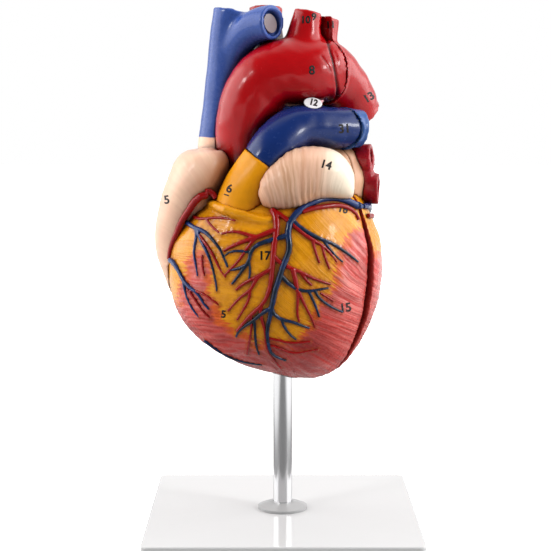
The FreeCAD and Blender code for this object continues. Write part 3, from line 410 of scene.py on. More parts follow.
def normals_of(mesh):
    flat = np.empty(len(mesh.vertices) * 3, np.float32)
    mesh.vertex_normals.foreach_get("vector", flat)
    return flat.reshape(-1, 3).astype(float)


def shape_of(piece):
    """A piece's mesh, its points in millimetres and its normals."""
    return piece.data, points_of(piece.data), normals_of(piece.data)


def edges_of(mesh):
    flat = np.empty(len(mesh.edges) * 2, np.int32)
    mesh.edges.foreach_get("vertices", flat)
    return flat.reshape(-1, 2)


def mean_finder(edges, count):
    """A function that gives the mean of each point's neighbours."""
    first, second = edges.T
    degree = np.maximum(np.bincount(first, minlength=count) + np.bincount(second, minlength=count), 1)

    def mean(points):
        total = np.empty_like(points)
        for axis in range(3):
            total[:, axis] = np.bincount(first, points[second, axis], count)
            total[:, axis] += np.bincount(second, points[first, axis], count)
        return total / degree[:, None]
    return mean


def relaxed(points, edges, rounds):
    """Points evened out over their neighbours without shrinking the whole."""
    mean = mean_finder(edges, len(points))
    for pull in (RELAX_IN, RELAX_OUT) * rounds:
        points = points + (mean(points) - points) * pull
    return points


def write_fields(mesh, **fields):
    """Keeps numbers for each vertex, which the paint reads by name."""
    for name, values in fields.items():
        layer = mesh.attributes.new(name, "FLOAT", "POINT")
        layer.data.foreach_set("value", np.asarray(values, np.float32))


def placed(name, data):
    """A new object in the scene."""
    made = bpy.data.objects.new(name, data)
    bpy.context.scene.collection.objects.link(made)
    return made


def skin(nodes, grid, rounds, extras=()):
    """A dense, even copy of the surface of one or more solids, ready to be shaped."""
    name = nodes[0] + "_skin"
    joined = bmesh.new()
    for node in nodes:
        joined.from_mesh(frame["nodes"][node].data)
    for points, faces in extras:
        corners = [joined.verts.new(Vector(p) * MM) for p in points]
        for face in faces:
            joined.faces.new([corners[k] for k in face])
    source = bpy.data.meshes.new(name)
    joined.to_mesh(source)
    joined.free()
    piece = placed(name, source)
    weld = piece.modifiers.new("weld", "WELD")
    weld.merge_threshold = WELD_GAP * MM
    remesh = piece.modifiers.new("even", "REMESH")
    remesh.mode = "VOXEL"
    remesh.voxel_size = grid
    graph = bpy.context.evaluated_depsgraph_get()
    dense = bpy.data.meshes.new_from_object(piece.evaluated_get(graph))
    piece.modifiers.clear()
    piece.data = dense
    dense.materials.clear()
    points = relaxed(points_of(dense), edges_of(dense), rounds)
    if len(nodes) > 1:
        points = filleted(points, edges_of(dense), nodes)
    put_points(dense, points)
    dense.shade_smooth()
    return piece


def filleted(points, edges, nodes):
    """Points smoothed most where the first node meets the others."""
    base = tree_of(nodes[:1])
    others = points_of_nodes(nodes[1:])
    meeting = others[distances(others, base) < FILLET_TOUCH]
    weight = near(distances(points, tree_of_points(meeting)), 0.0, FILLET_REACH)[:, None]
    mean = mean_finder(edges, len(points))
    for _ in range(FILLET_ROUNDS):
        points = points + (mean(points) - points) * FILLET_PULL * weight
    return points


def rod_form(route, radii, sides=10):
    """A round bar along a route, as points and faces."""
    route = [Vector(p) for p in route]
    points = []
    for k, place in enumerate(route):
        along = (route[min(k + 1, len(route) - 1)] - route[max(k - 1, 0)]).normalized()
        side = along.orthogonal().normalized()
        if k:
            side = (last_side - along * last_side.dot(along)).normalized()
        last_side = side
        other = along.cross(side)
        for j in range(sides):
            angle = 2 * math.pi * j / sides
            points.append(place + (side * math.cos(angle) + other * math.sin(angle)) * radii[k])
    faces = [tuple(reversed(range(sides)))]
    for k in range(len(route) - 1):
        low = k * sides
        for j in range(sides):
            after = (j + 1) % sides
            faces.append((low + j, low + after, low + sides + after, low + sides + j))
    faces.append(tuple(range((len(route) - 1) * sides, len(route) * sides)))
    return points, faces


def dress(piece, material, body, *nodes, slot=None):
    """Gives a piece its paint, its body and the solids that it stands for, if any."""
    piece.data.materials.append(material)
    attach(piece, body)
    if nodes:
        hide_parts(*nodes)


def repaint(node, material):
    """A carried-over solid with a finish of its own."""
    mesh = frame["nodes"][node].data
    mesh.materials.clear()
    mesh.materials.append(material)


def lumps(points, size, seed):
    """Smooth unevenness, mostly from -1 to 1, with bumps of about the given size."""
    rng = np.random.default_rng(seed)
    total = np.zeros(len(points))
    waves = 9
    for _ in range(waves):
        way = rng.normal(size=3)
        way /= np.linalg.norm(way)
        pitch = size * rng.uniform(0.7, 1.6)
        total += np.sin(points @ way * (2 * math.pi / pitch) + rng.uniform(0, 2 * math.pi))
    return total / math.sqrt(waves)


def near(points, low, high):
    """1 at low and 0 at high, with a soft step between."""
    share = np.clip((points - high) / (low - high), 0, 1)
    return share * share * (3 - 2 * share)


def seam_depth(points):
    """How far behind the seam each point lies."""
    return points @ SEAM_NORMAL - SEAM_DISTANCE


# ---- the drawing sheet ----

def eye_axes():
    forward = np.array([
        math.sin(EYE_TURN) * math.cos(EYE_TILT), math.cos(EYE_TURN) * math.cos(EYE_TILT),
        -math.sin(EYE_TILT)])
    right = np.array([math.cos(EYE_TURN), -math.sin(EYE_TURN), 0.0])
    return forward, right, np.cross(right, forward)


def on_sheet(points):
    """Where points fall on the drawing sheet, across and down."""
    forward, right, up = eye_axes()
    away = points - EYE
    depth = away @ forward
    across = SHEET_SIDE / 2 + SHEET_REACH * (away @ right) / depth
    down = SHEET_SIDE / 2 - SHEET_REACH * (away @ up) / depth
    return np.column_stack([across, down])


def sheet_ray(across, down):
    """The direction from the eye through a place on the sheet."""
    forward, right, up = eye_axes()
    way = forward * SHEET_REACH + right * (across - SHEET_SIDE / 2) - up * (down - SHEET_SIDE / 2)
    return Vector(way / np.linalg.norm(way))


def run_distance(places, start, run):
    """Sheet units from a straight run."""
    share = np.clip((places - start) @ run / (run @ run), 0, 1)
    return np.linalg.norm(places - start - share[:, None] * run, axis=1)


def outline_distance(places, outline):
    """Millimetres from the outline on the sheet, positive inside it."""
    outline = np.array(outline, float)
    following = np.roll(outline, -1, axis=0)
    least = np.full(len(places), np.inf)
    inside = np.zeros(len(places), bool)
    for start, end in zip(outline, following):
        run = end - start
        least = np.minimum(least, run_distance(places, start, run))
        crosses = (start[1] > places[:, 1]) != (end[1] > places[:, 1])
        rise = run[1] if run[1] else 1e-9
        inside ^= crosses & (places[:, 0] < start[0] + (places[:, 1] - start[1]) * run[0] / rise)
    return np.where(inside, least, -least) * SHEET_UNIT


def line_distance(places, line):
    """Millimetres on the sheet from an open line."""
    line = np.array(line, float)
    least = np.full(len(places), np.inf)
    for start, end in zip(line[:-1], line[1:]):
        least = np.minimum(least, run_distance(places, start, end - start))
    return least * SHEET_UNIT


def side_of(places, line):
    """How far to the right of a line that runs down the sheet, in sheet units."""
    line = np.array(line, float)
    return places[:, 0] - np.interp(places[:, 1], line[:, 1], line[:, 0])


def tree_of_points(points):
    finder = KDTree(len(points))
    for index, point in enumerate(points):
        finder.insert(point, index)
    finder.balance()
    return finder


def points_of_nodes(nodes):
    return np.concatenate([points_of(frame["nodes"][n].data) for n in nodes])


def tree_of(nodes):
    """A finder of the nearest vertex of several solids, in millimetres."""
    return tree_of_points(points_of_nodes(nodes))


def distances(points, finder):
    return np.array([finder.find(p)[2] for p in points])


# ---- shader building ----

class Wiring:
    """Adds nodes to one tree and joins them."""

    def __init__(self, tree):
        self.tree = tree

    def feed(self, socket, value):
        """Joins another socket to this one, or gives it a value or an opaque colour."""
        if isinstance(value, bpy.types.NodeSocket):
            self.tree.links.new(value, socket)
        elif socket.type == "RGBA" and len(value) == 3:
            socket.default_value = (*value, 1.0)
        else:
            socket.default_value = value

    def node(self, kind, settings=None, **inputs):
        made = self.tree.nodes.new(NODE_KIND + kind)
        for key, value in (settings or {}).items():
            setattr(made, key, value)
        for key, value in inputs.items():
            self.feed(made.inputs[key.replace("_", " ")], value)
        return made

    def math(self, operation, *values):
        made = self.node("Math", {"operation": operation})
        for socket, value in zip(made.inputs, values):
            self.feed(socket, value)
        return made.outputs[0]

    def times(self, first, second):
        return self.math("MULTIPLY", first, second)

    def plus(self, first, second):
        return self.math("ADD", first, second)

    def minus(self, first, second):
        return self.math("SUBTRACT", first, second)

    def mix(self, share, first, second):
        made = self.node("Mix", {"data_type": "RGBA"})
        self.feed(made.inputs[0], share)
        self.feed(made.inputs[6], first)
        self.feed(made.inputs[7], second)
        return made.outputs[2]

    def step(self, value, low, high, first=0.0, last=1.0):
        made = self.node("MapRange", {"interpolation_type": "SMOOTHSTEP"})
        for socket, given in zip(made.inputs, (value, low, high, first, last)):
            self.feed(socket, given)
        return made.outputs[0]

    def noise(self, vector, scale, detail=2.0):
        return self.node("TexNoise", None, Vector=vector, Scale=scale, Detail=detail).outputs[0]

    def seen_rays(self, path):
        """1 for rays that show the surroundings themselves, straight or through glass."""
        return self.math("MAXIMUM", path.outputs["Is Camera Ray"], path.outputs["Is Transmission Ray"])

    def field(self, name):
        return self.node("Attribute", {"attribute_name": name}).outputs["Fac"]

    def place(self):
        return self.node("TexCoord").outputs["Object"]

    def use(self, group, **inputs):
        return self.node("Group", {"node_tree": group}, **inputs)


def new_group(name, inputs, outputs):
    """An empty shared effect with its named inputs, their values, and its named outputs."""
    tree = bpy.data.node_groups.new(name, "ShaderNodeTree")
    for label, value in inputs.items():
        kind = "NodeSocketColor" if isinstance(value, tuple) else "NodeSocketFloat"
        tree.interface.new_socket(label, in_out="INPUT", socket_type=kind).default_value = value
    for label in outputs:
        kind = "NodeSocketColor" if label == "Colour" else "NodeSocketFloat"
        tree.interface.new_socket(label, in_out="OUTPUT", socket_type=kind)
    wiring = Wiring(tree)
    start = tree.nodes.new("NodeGroupInput")
    end = tree.nodes.new("NodeGroupOutput")
    return wiring, start.outputs, end.inputs


def hand_paint_group():
    """Brushed gloss paint, a little uneven in tone and shine, with painted shade in creases and between
    parts.
    """
    group = bpy.data.node_groups.get("Hand paint")
    if group:
        return group
    wiring, given, wanted = new_group(
        "Hand paint",
        {"Colour": (1, 1, 1, 1), "Shade": (0, 0, 0, 1), "Crease": 0.8, "Reach": 0.006,
         "Variation": 0.2, "Roughness": 0.3},
        ["Colour", "Roughness", "Height"])
    place = wiring.place()
    broad = wiring.noise(place, PAINT_BROAD, 3.0)
    fine = wiring.noise(place, PAINT_FINE, 3.0)
    tone = wiring.minus(wiring.plus(broad, wiring.times(fine, 0.5)), 0.75)
    tone = wiring.math("MULTIPLY_ADD", wiring.times(tone, given["Variation"]), 2.0, 1.0)
    lit = wiring.node("HueSaturation", None, Value=tone, Color=given["Colour"]).outputs[0]
    # painted shade: the colour turns to the shade colour in creases and between parts, where little
    # light reaches
    openness = wiring.node("AmbientOcclusion", {"samples": CREASE_SAMPLES}, Distance=given["Reach"])
    crease = wiring.step(openness.outputs["AO"], CREASE_FULL, CREASE_END, 1.0, 0.0)
    crease = wiring.times(crease, given["Crease"])
    wiring.feed(wanted["Colour"], wiring.mix(crease, lit, given["Shade"]))
    rough = wiring.math("MULTIPLY_ADD", wiring.minus(fine, 0.5), 0.16, given["Roughness"])
    wiring.feed(wanted["Roughness"], rough)
    wiring.feed(wanted["Height"], wiring.math("MULTIPLY_ADD", fine, 0.35, broad))
    return wiring.tree


def strokes_group():
    """Fine strokes along the grain, from the field that counts millimetres across it."""
    group = bpy.data.node_groups.get("Strokes")
    if group:
        return group
    wiring, given, wanted = new_group("Strokes", {"Across": 0.0, "Pitch": 1.0}, ["Fine", "Broad"])
    place = wiring.place()
    bend = wiring.noise(place, 130.0, 2.0)
    across = wiring.plus(given["Across"], wiring.times(bend, 1.6))
    across = wiring.math("DIVIDE", across, given["Pitch"])
    for label, scale in (("Fine", 1.0), ("Broad", 0.28)):
        line = wiring.node("TexNoise", {"noise_dimensions": "4D"}, Scale=1.0, Detail=1.0)
        near_place = wiring.node("VectorMath", {"operation": "SCALE"}, Scale=45.0)
        wiring.feed(near_place.inputs[0], place)
        wiring.feed(line.inputs["Vector"], near_place.outputs[0])
        wiring.feed(line.inputs["W"], wiring.times(across, scale))
        wiring.feed(wanted[label], wiring.step(line.outputs[0], 0.3, 0.7))
    return wiring.tree


def ragged_group():
    """A painted border: a field of distances cut at zero, with brush marks along it."""
    group = bpy.data.node_groups.get("Ragged border")
    if group:
        return group
    wiring, given, wanted = new_group(
        "Ragged border", {"Distance": 0.0, "Marks": 0.5, "Reach": 2.0, "Softness": 0.6}, ["Mask"])
    marks = wiring.times(wiring.minus(given["Marks"], 0.5), given["Reach"])
    wander = wiring.minus(wiring.noise(wiring.place(), 260.0, 2.0), 0.5)
    shifted = wiring.plus(wiring.plus(given["Distance"], marks),
                          wiring.times(wander, given["Reach"]))
    low = wiring.times(given["Softness"], -1.0)
    wiring.feed(wanted["Mask"], wiring.step(shifted, low, given["Softness"]))
    return wiring.tree


def new_material(name):
    """A material with a Principled shader, ready to be wired."""
    material = bpy.data.materials.new(name)
    material.use_nodes = True
    material.node_tree.nodes.clear()
    wiring = Wiring(material.node_tree)
    shader = wiring.node("BsdfPrincipled")
    end = wiring.node("OutputMaterial")
    wiring.feed(end.inputs["Surface"], shader.outputs[0])
    return material, wiring, shader


def finish_paint(wiring, shader, colour, shade, look, height=None):
    """Joins a colour to gloss paint with painted shade. look holds crease, the strength of the painted
    shade in creases, reach in millimetres, variation, roughness, coat, coat_roughness, bump, and
    shaded, which is whether the field named shade darkens it with painted shade."""
    if look.get("shaded", True):
        colour = wiring.mix(wiring.field("shade"), colour, shade)
    paint = wiring.use(
        hand_paint_group(), Colour=colour, Shade=shade, Crease=look.get("crease", 0.75),
        Reach=look.get("reach", 5.0) * MM, Variation=look.get("variation", 0.16),
        Roughness=look.get("roughness", 0.32) * ROUGHNESS_SHARE)
    wiring.feed(shader.inputs["Base Color"], paint.outputs["Colour"])
    wiring.feed(shader.inputs["Roughness"], paint.outputs["Roughness"])
    rise = wiring.times(paint.outputs["Height"], 0.25)
    if height is not None:
        rise = wiring.plus(rise, height)
    bump = wiring.node(
        "Bump", None, Strength=look.get("bump", 0.2), Distance=BUMP_DEPTH * MM, Height=rise)
    wiring.feed(shader.inputs["Normal"], bump.outputs[0])
    shader.inputs["Coat Weight"].default_value = look.get("coat", 0.5) * GLOSS_SHARE
    shader.inputs["Coat Roughness"].default_value = look.get("coat_roughness", 0.12)
    shader.inputs["Specular IOR Level"].default_value = 0.5 * GLOSS_SHARE


def plain_paint(name, colour, shade, **look):
    """Gloss paint of one colour."""
    found = bpy.data.materials.get(name)
    if found:
        return found
    material, wiring, shader = new_material(name)
    finish_paint(wiring, shader, colour, shade, look)
    return material


def table_paint(name):
    """One of the gloss paints of the table."""
    colour, shade, crease, reach, variation, roughness, coat, bump = PAINTS[name]
    colour = getattr(colours(), colour) if isinstance(colour, str) else from_srgb(*colour)
    return plain_paint(
        name, colour, from_srgb(*shade), crease=crease, reach=reach, variation=variation,
        roughness=roughness, coat=coat, bump=bump)


def darker(colour, share):
    return tuple(c * share for c in colour)


def wall_paint(name):
    """The heart's wall: yellow fat with a ragged border to red muscle, maroon seam, red chambers, with
    painted shade beside the vessels and in patches of the muscle, and painted sheen on the muscle.
    """
    shades = colours()
    material, wiring, shader = new_material(name)
    strokes = wiring.use(strokes_group(), Across=wiring.field("across"), Pitch=1.0)
    fine, broad = strokes.outputs["Fine"], strokes.outputs["Broad"]
    # painted sheen: the pale strokes, faint all over, are strongest at the painted highlights
    pale = wiring.mix(wiring.times(fine, wiring.field("sheen")), shades.muscle, shades.muscle_pale)
    deep = wiring.mix(wiring.times(wiring.minus(1.0, broad), 0.55), pale, shades.muscle_dark)
    # painted shade in soft patches of the muscle, mostly towards the bottom
    muscle = wiring.mix(wiring.field("shade"), deep, shades.muscle_dark)
    light_fat = wiring.mix(wiring.times(fine, 0.35), shades.fat, from_srgb(248, 180, 40))
    fat = wiring.mix(wiring.times(wiring.minus(1.0, broad), 0.45), light_fat, from_srgb(196, 118, 4))
    border = wiring.use(
        ragged_group(), Distance=wiring.field("fat"), Marks=fine, Reach=3.2, Softness=1.1)
    warm = wiring.use(
        ragged_group(), Distance=wiring.plus(wiring.field("fat"), 2.4), Marks=broad, Reach=4.0,
        Softness=1.6)
    blush = wiring.mix(warm.outputs[0], muscle, from_srgb(214, 92, 30))
    outside = wiring.mix(border.outputs[0], blush, fat)
    # painted shade in dark brown on the wall beside its vessels
    beside = wiring.times(wiring.field("beside"), 0.5)
    outside = wiring.mix(beside, outside, from_srgb(150, 60, 6))
    chamber = wiring.mix(wiring.times(broad, 0.6), shades.chamber, darker(shades.chamber, 0.55))
    inner = wiring.mix(wiring.field("inner"), outside, chamber)
    whole = wiring.mix(wiring.step(wiring.field("cut"), 0.35, 0.65), inner, shades.seam)
    height = wiring.math("MULTIPLY_ADD", fine, 0.9, wiring.times(broad, 0.6))
    finish_paint(
        wiring, shader, whole, darker(shades.muscle_dark, 0.4),
        {"crease": 0.7, "reach": 4.0, "variation": 0.14, "roughness": 0.34, "bump": 0.5,
         "shaded": False},
        height)
    return material


def wall_fields(piece, outline, seam_side, chamber_hull):
    """Fields that the wall's paint reads, and the relief of the wall itself."""
    mesh, points, normals = shape_of(piece)
    places = on_sheet(points)
    lean = np.radians(GRAIN_LEAN + GRAIN_LEFT_LEAN * near(places[:, 0], *GRAIN_TURN))
    lean = lean * (GRAIN_FLAT_SHARE + GRAIN_TOP_SHARE * near(places[:, 1], *GRAIN_FLATTENING))
    across = SHEET_UNIT * (
        (places[:, 1] - GRAIN_DOWN) * np.cos(lean) - (places[:, 0] - GRAIN_ACROSS) * np.sin(lean))
    fat = outline_distance(places, outline)
    inner = 1 - near(hull_depth(points, chamber_hull), *CHAMBER_DEPTHS)
    seam = np.abs(seam_depth(points) - (0.0 if seam_side < 0 else SEAM_GAP))
    facing = np.abs(normals @ SEAM_NORMAL)
    cut = near(seam, *CUT_GAPS) * near(-facing, *CUT_FACING)
    gap = distances(points, tree_of(WALL_VESSELS[seam_side]))
    size = sizes()
    outside = (1 - inner) * (1 - cut)
    rim = near(-seam_depth(points), 0.0, SEAM_SHOULDER_REACH) ** 2 * (1 - inner) * (seam_side < 0)
    swell = np.exp(-(gap / (size.ridge_width / MM)) ** 2) * size.ridge_height / MM
    muscle = near(fat, *MUSCLE_EDGE)
    folds = np.sin(across * (2 * math.pi / MUSCLE_FOLD_PITCH) + lumps(points, 18, 5) * 2.2)
    folds = folds * MUSCLE_FOLD_HEIGHT * muscle
    rise = (swell + folds + lumps(points, 14, 7) * 0.16 + lumps(points, 5, 9) * 0.05) * outside
    put_points(mesh, points + normals * rise[:, None] - SEAM_ALONG * (rim * SEAM_SHOULDER)[:, None])
    # the wall's fields carry painted shade beside its vessels and in soft patches, and painted sheen in
    # its pale strokes
    write_fields(
        mesh, across=across, fat=fat, inner=inner, cut=cut, beside=near(gap, *BESIDE_GAPS) * outside,
        shade=spots(places, DARK_SPOTS), sheen=0.3 + 0.5 * spots(places, PALE_SPOTS))


def spots(places, table):
    """Broad soft patches on the sheet, from 0 to 1."""
    total = np.zeros(len(places))
    for across, down, wide, high, amount in table:
        reach = ((places[:, 0] - across) / wide) ** 2 + ((places[:, 1] - down) / high) ** 2
        total += amount * np.exp(-reach)
    return np.clip(total, 0, 1)


def hull_of(node):
    """A finder of the nearest place on a solid's convex hull."""
    made = bmesh.new()
    points = points_of(frame["nodes"][node].data)
    step = max(1, len(points) // HULL_POINTS)
    for point in points[::step]:
        made.verts.new(point)
    hull = bmesh.ops.convex_hull(made, input=made.verts)
    spare = [e for e in hull["geom_interior"] if isinstance(e, bmesh.types.BMVert)]
    bmesh.ops.delete(made, geom=spare, context="VERTS")
    tree = BVHTree.FromBMesh(made)
    made.free()
    return tree


def hull_depth(points, tree):
    """How far each point lies inside the hull."""
    depths = []
    for point in points:
        place, normal, _, distance = tree.find_nearest(point)
        depths.append(distance if (Vector(point) - place).dot(normal) < 0 else 0.0)
    return np.array(depths)


# ---- operators ----

class HEART_OT_stage(bpy.types.Operator):
    """Floor, white surroundings, lamps and camera"""
    bl_idname = "heart.stage"
    bl_label = "Stage"

    def execute(self, context):
        scene = context.scene
        scene.view_settings.view_transform = "Standard"
        self.camera(scene)
        self.floor()
        self.world(scene)
        for name, place, power in LAMPS:
            self.lamp(name, place, power)
        return {"FINISHED"}

    def camera(self, scene):
        data = bpy.data.cameras.new("camera")
        data.lens = sizes().lens
        data.sensor_width = 36.0
        data.clip_start = 0.01
        camera = placed("camera", data)
        forward, right, up = eye_axes()
        turn = Matrix((right, up, -forward)).transposed()
        camera.matrix_world = Matrix.Translation(EYE * MM) @ turn.to_4x4()
        scene.camera = camera

    def floor(self):
        mesh = bpy.data.meshes.new("floor")
        corners = [(x * FLOOR_HALF, y * FLOOR_HALF, 0) for x, y in ((-1, -1), (1, -1), (1, 1), (-1, 1))]
        mesh.from_pydata(corners, [], [(0, 1, 2, 3)])
        floor = placed("floor", mesh)
        material, wiring, shader = new_material("White floor")
        path = wiring.node("LightPath")
        seen = wiring.seen_rays(path)
        wiring.feed(shader.inputs["Base Color"], wiring.mix(seen, FLOOR_BOUNCE, FLOOR_SEEN))
        shader.inputs["Roughness"].default_value = 0.6
        shader.inputs["Emission Color"].default_value = (1, 1, 1, 1)
        across = wiring.node("SeparateXYZ")
        wiring.feed(across.inputs[0], wiring.place())
        aside = wiring.math("ABSOLUTE", across.outputs[0])
        aside = wiring.step(aside, FLOOR_SIDES_FROM, FLOOR_SIDES_TO, 0.0, FLOOR_SIDES)
        glow = wiring.times(aside, path.outputs["Is Glossy Ray"])
        glow = wiring.plus(glow, wiring.times(seen, FLOOR_GLOW))
        wiring.feed(shader.inputs["Emission Strength"], glow)
        mesh.materials.append(material)

    def world(self, scene):
        world = bpy.data.worlds.new("studio")
        scene.world = world
        world.use_nodes = True
        world.node_tree.nodes.clear()
        wiring = Wiring(world.node_tree)
        path = wiring.node("LightPath")
        way = wiring.node("TexCoord").outputs["Generated"]
        light = FRONT_LIGHT
        for toward, outer, inner, strength in SOFTBOXES:
            facing = wiring.node("VectorMath", {"operation": "DOT_PRODUCT"})
            wiring.feed(facing.inputs[0], way)
            facing.inputs[1].default_value = Vector(toward).normalized()
            low, high = math.cos(math.radians(outer)), math.cos(math.radians(inner))
            box = wiring.step(facing.outputs["Value"], low, high, 0.0, strength)
            light = wiring.plus(light, box)
        seen = wiring.seen_rays(path)
        strength = wiring.math("MAXIMUM", wiring.times(light, wiring.minus(1.0, seen)), seen)
        background = wiring.node("Background", None, Color=(1, 1, 1, 1), Strength=strength)
        end = wiring.node("OutputWorld")
        wiring.feed(end.inputs[0], background.outputs[0])

    def lamp(self, name, place, power):
        data = bpy.data.lights.new(name, "AREA")
        data.size = LAMP_SIDE
        data.energy = power
        lamp = placed(name, data)
        lamp.location = place
        lamp.rotation_euler = (Vector(LAMP_TARGET) - Vector(place)).to_track_quat("-Z", "Y").to_euler()


class HEART_OT_stand(bpy.types.Operator):
    """Base, feet, collar, rod, screw and washer"""
    bl_idname = "heart.stand"
    bl_label = "Stand"

    def execute(self, context):
        shades = colours()
        white = plain_paint(
            "White acrylic", shades.stand, darker(shades.stand, 0.75), crease=0.35, reach=8.0,
            variation=0.01, roughness=0.16, coat=0.6, coat_roughness=0.04, bump=0.02)
        cap = plain_paint(
            "White collar", darker(shades.stand, 0.62), darker(shades.stand, 0.4), crease=0.6,
            reach=3.0, variation=0.02, roughness=0.2, coat=0.6, coat_roughness=0.05, bump=0.03)
        steel = self.steel("Polished steel", 0.13, 0.66)
        zinc = self.steel("Zinc plate", 0.35, 0.5)
        for node, paint in (
                ("base_plate", white), ("collar", cap), ("rubber_feet", self.rubber()),
                ("steel_rod", steel), ("rod_screw", zinc), ("rod_washer", zinc)):
            repaint(node, paint)
        return {"FINISHED"}

    def rubber(self):
        material, wiring, shader = new_material("Foot rubber")
        grain = wiring.noise(wiring.place(), 1500.0, 3.0)
        colour = wiring.mix(grain, (0.02, 0.02, 0.02, 1), (0.05, 0.05, 0.05, 1))
        wiring.feed(shader.inputs["Base Color"], colour)
        bump = wiring.node("Bump", None, Strength=0.4, Distance=0.1 * MM, Height=grain)
        wiring.feed(shader.inputs["Normal"], bump.outputs[0])
        shader.inputs["Roughness"].default_value = 0.8
        return material

    def steel(self, name, roughness, grey):
        """Drawn steel with faint rings round the rod."""
        material, wiring, shader = new_material(name)
        squeeze = wiring.node("VectorMath", {"operation": "MULTIPLY"})
        wiring.feed(squeeze.inputs[0], wiring.place())
        squeeze.inputs[1].default_value = STEEL_RINGS
        rings = wiring.noise(squeeze.outputs[0], 1.0, 2.0)
        dull = (grey * 0.9, grey * 0.9, grey * 0.92)
        colour = wiring.mix(rings, dull, (grey, grey, grey * 1.01))
        wiring.feed(shader.inputs["Base Color"], colour)
        shine = wiring.math("MULTIPLY_ADD", wiring.minus(rings, 0.5), 0.1, roughness)
        wiring.feed(shader.inputs["Roughness"], shine)
        shader.inputs["Metallic"].default_value = 1.0
        return material


class HEART_OT_walls(bpy.types.Operator):
    """Front and back walls of the ventricles"""
    bl_idname = "heart.walls"
    bl_label = "Heart walls"

    def execute(self, context):
        grid = sizes().wall_grid
        for node, body, outline, side in (
                ("front_heart_wall", "heart_front", FAT_OUTLINE, -1),
                ("back_heart_wall", "heart_back", BACK_FAT_OUTLINE, 1)):
            piece = skin([node], grid, 4, self.lip() if side < 0 else ())
            wall_fields(piece, outline, side, hull_of(node))
            dress(piece, wall_paint(node.replace("_", " ")), body, node, slot="heart_muscle")
        return {"FINISHED"}

    def lip(self):
        """The roll of fat that the wall's top rim folds into, in front of the pulmonary root."""
        graph = bpy.context.evaluated_depsgraph_get()
        nodes = [frame["nodes"][n] for n in ("front_heart_wall", "pulmonary_root")]
        trees = [BVHTree.FromObject(node, graph) for node in nodes]
        start = Vector(EYE * MM)
        route = []
        for across, down in LIP_LINE:
            way = sheet_ray(across, down)
            hits = [h for h in (t.ray_cast(start, way) for t in trees) if h[0] is not None]
            hit = min(hits, key=lambda h: h[3])
            route.append(hit[0] / MM)
        return [rod_form(route, LIP_RADII)]


class HEART_OT_atria(bpy.types.Operator):
    """Right atrium, left auricle and left atrium"""
    bl_idname = "heart.atria"
    bl_label = "Atria"

    def execute(self, context):
        grid = sizes().vessel_grid
        for node, body in (
                ("right_atrium", "heart_front"), ("left_auricle", "heart_front"),
                ("left_atrium_front", "heart_front"), ("left_atrium_back", "heart_back")):
            piece = skin([node], grid, 6)
            mesh, points, normals = shape_of(piece)
            places = on_sheet(points)
            across = np.arctan2(places[:, 0] - FAN_ACROSS, FAN_DOWN - places[:, 1]) * FAN_SPREAD
            folds = np.sin(across * (2 * math.pi / FAN_PITCH) + lumps(points, 25, 3) * 1.6)
            strength, fade, pale = ATRIUM_FOLD, np.ones(len(points)), np.zeros(len(points))
            if node == "left_auricle":
                strength = AURICLE_FOLD
                fade = near(places[:, 0], *AURICLE_FADE)
                pale = near(-places[:, 0], *AURICLE_PALE)
            rise = folds * strength * fade + lumps(points, 16, 11) * 0.15
            put_points(mesh, points + normals * rise[:, None])
            write_fields(mesh, across=across, shade=self.fold_shade(node, places, fade), pale=pale)
            dress(piece, self.paint(node), body, node, slot="atrium_flesh")
        return {"FINISHED"}

    def fold_shade(self, node, places, fade):
        """Painted shade in brown: in the fold round the right atrium's upper end, over the left part of
        the auricle, and evenly over the left atrium.
        """
        if node == "right_atrium":
            return near(-outline_distance(places, RIGHT_ATRIUM_FOLD), -3.0, 7.0) * 0.5
        return fade * (0.22 if node == "left_auricle" else 0.45)

    def paint(self, node):
        shades = colours()
        material, wiring, shader = new_material(node.replace("_", " "))
        strokes = wiring.use(strokes_group(), Across=wiring.field("across"), Pitch=0.95)
        fine, broad = strokes.outputs["Fine"], strokes.outputs["Broad"]
        stripes = 0.5 if node == "left_auricle" else 0.1
        stripe = wiring.times(wiring.minus(1.0, fine), stripes)
        striped = wiring.mix(stripe, shades.flesh, shades.flesh_shade)
        rosy = wiring.mix(wiring.times(broad, 0.35), striped, from_srgb(240, 184, 160))
        # painted highlight in cream on the auricle's right side, then painted shade in brown from the
        # field named shade
        creamy = wiring.mix(wiring.field("pale"), rosy, from_srgb(255, 238, 214))
        shaded = wiring.mix(wiring.field("shade"), creamy, shades.flesh_shade)
        finish_paint(
            wiring, shader, shaded, darker(shades.flesh_shade, 0.3),
            {"crease": 0.65, "reach": 5.0, "variation": 0.06, "roughness": 0.42, "bump": 0.3,
             "coat": 0.3, "shaded": False},
            wiring.times(fine, 0.5))
        return material


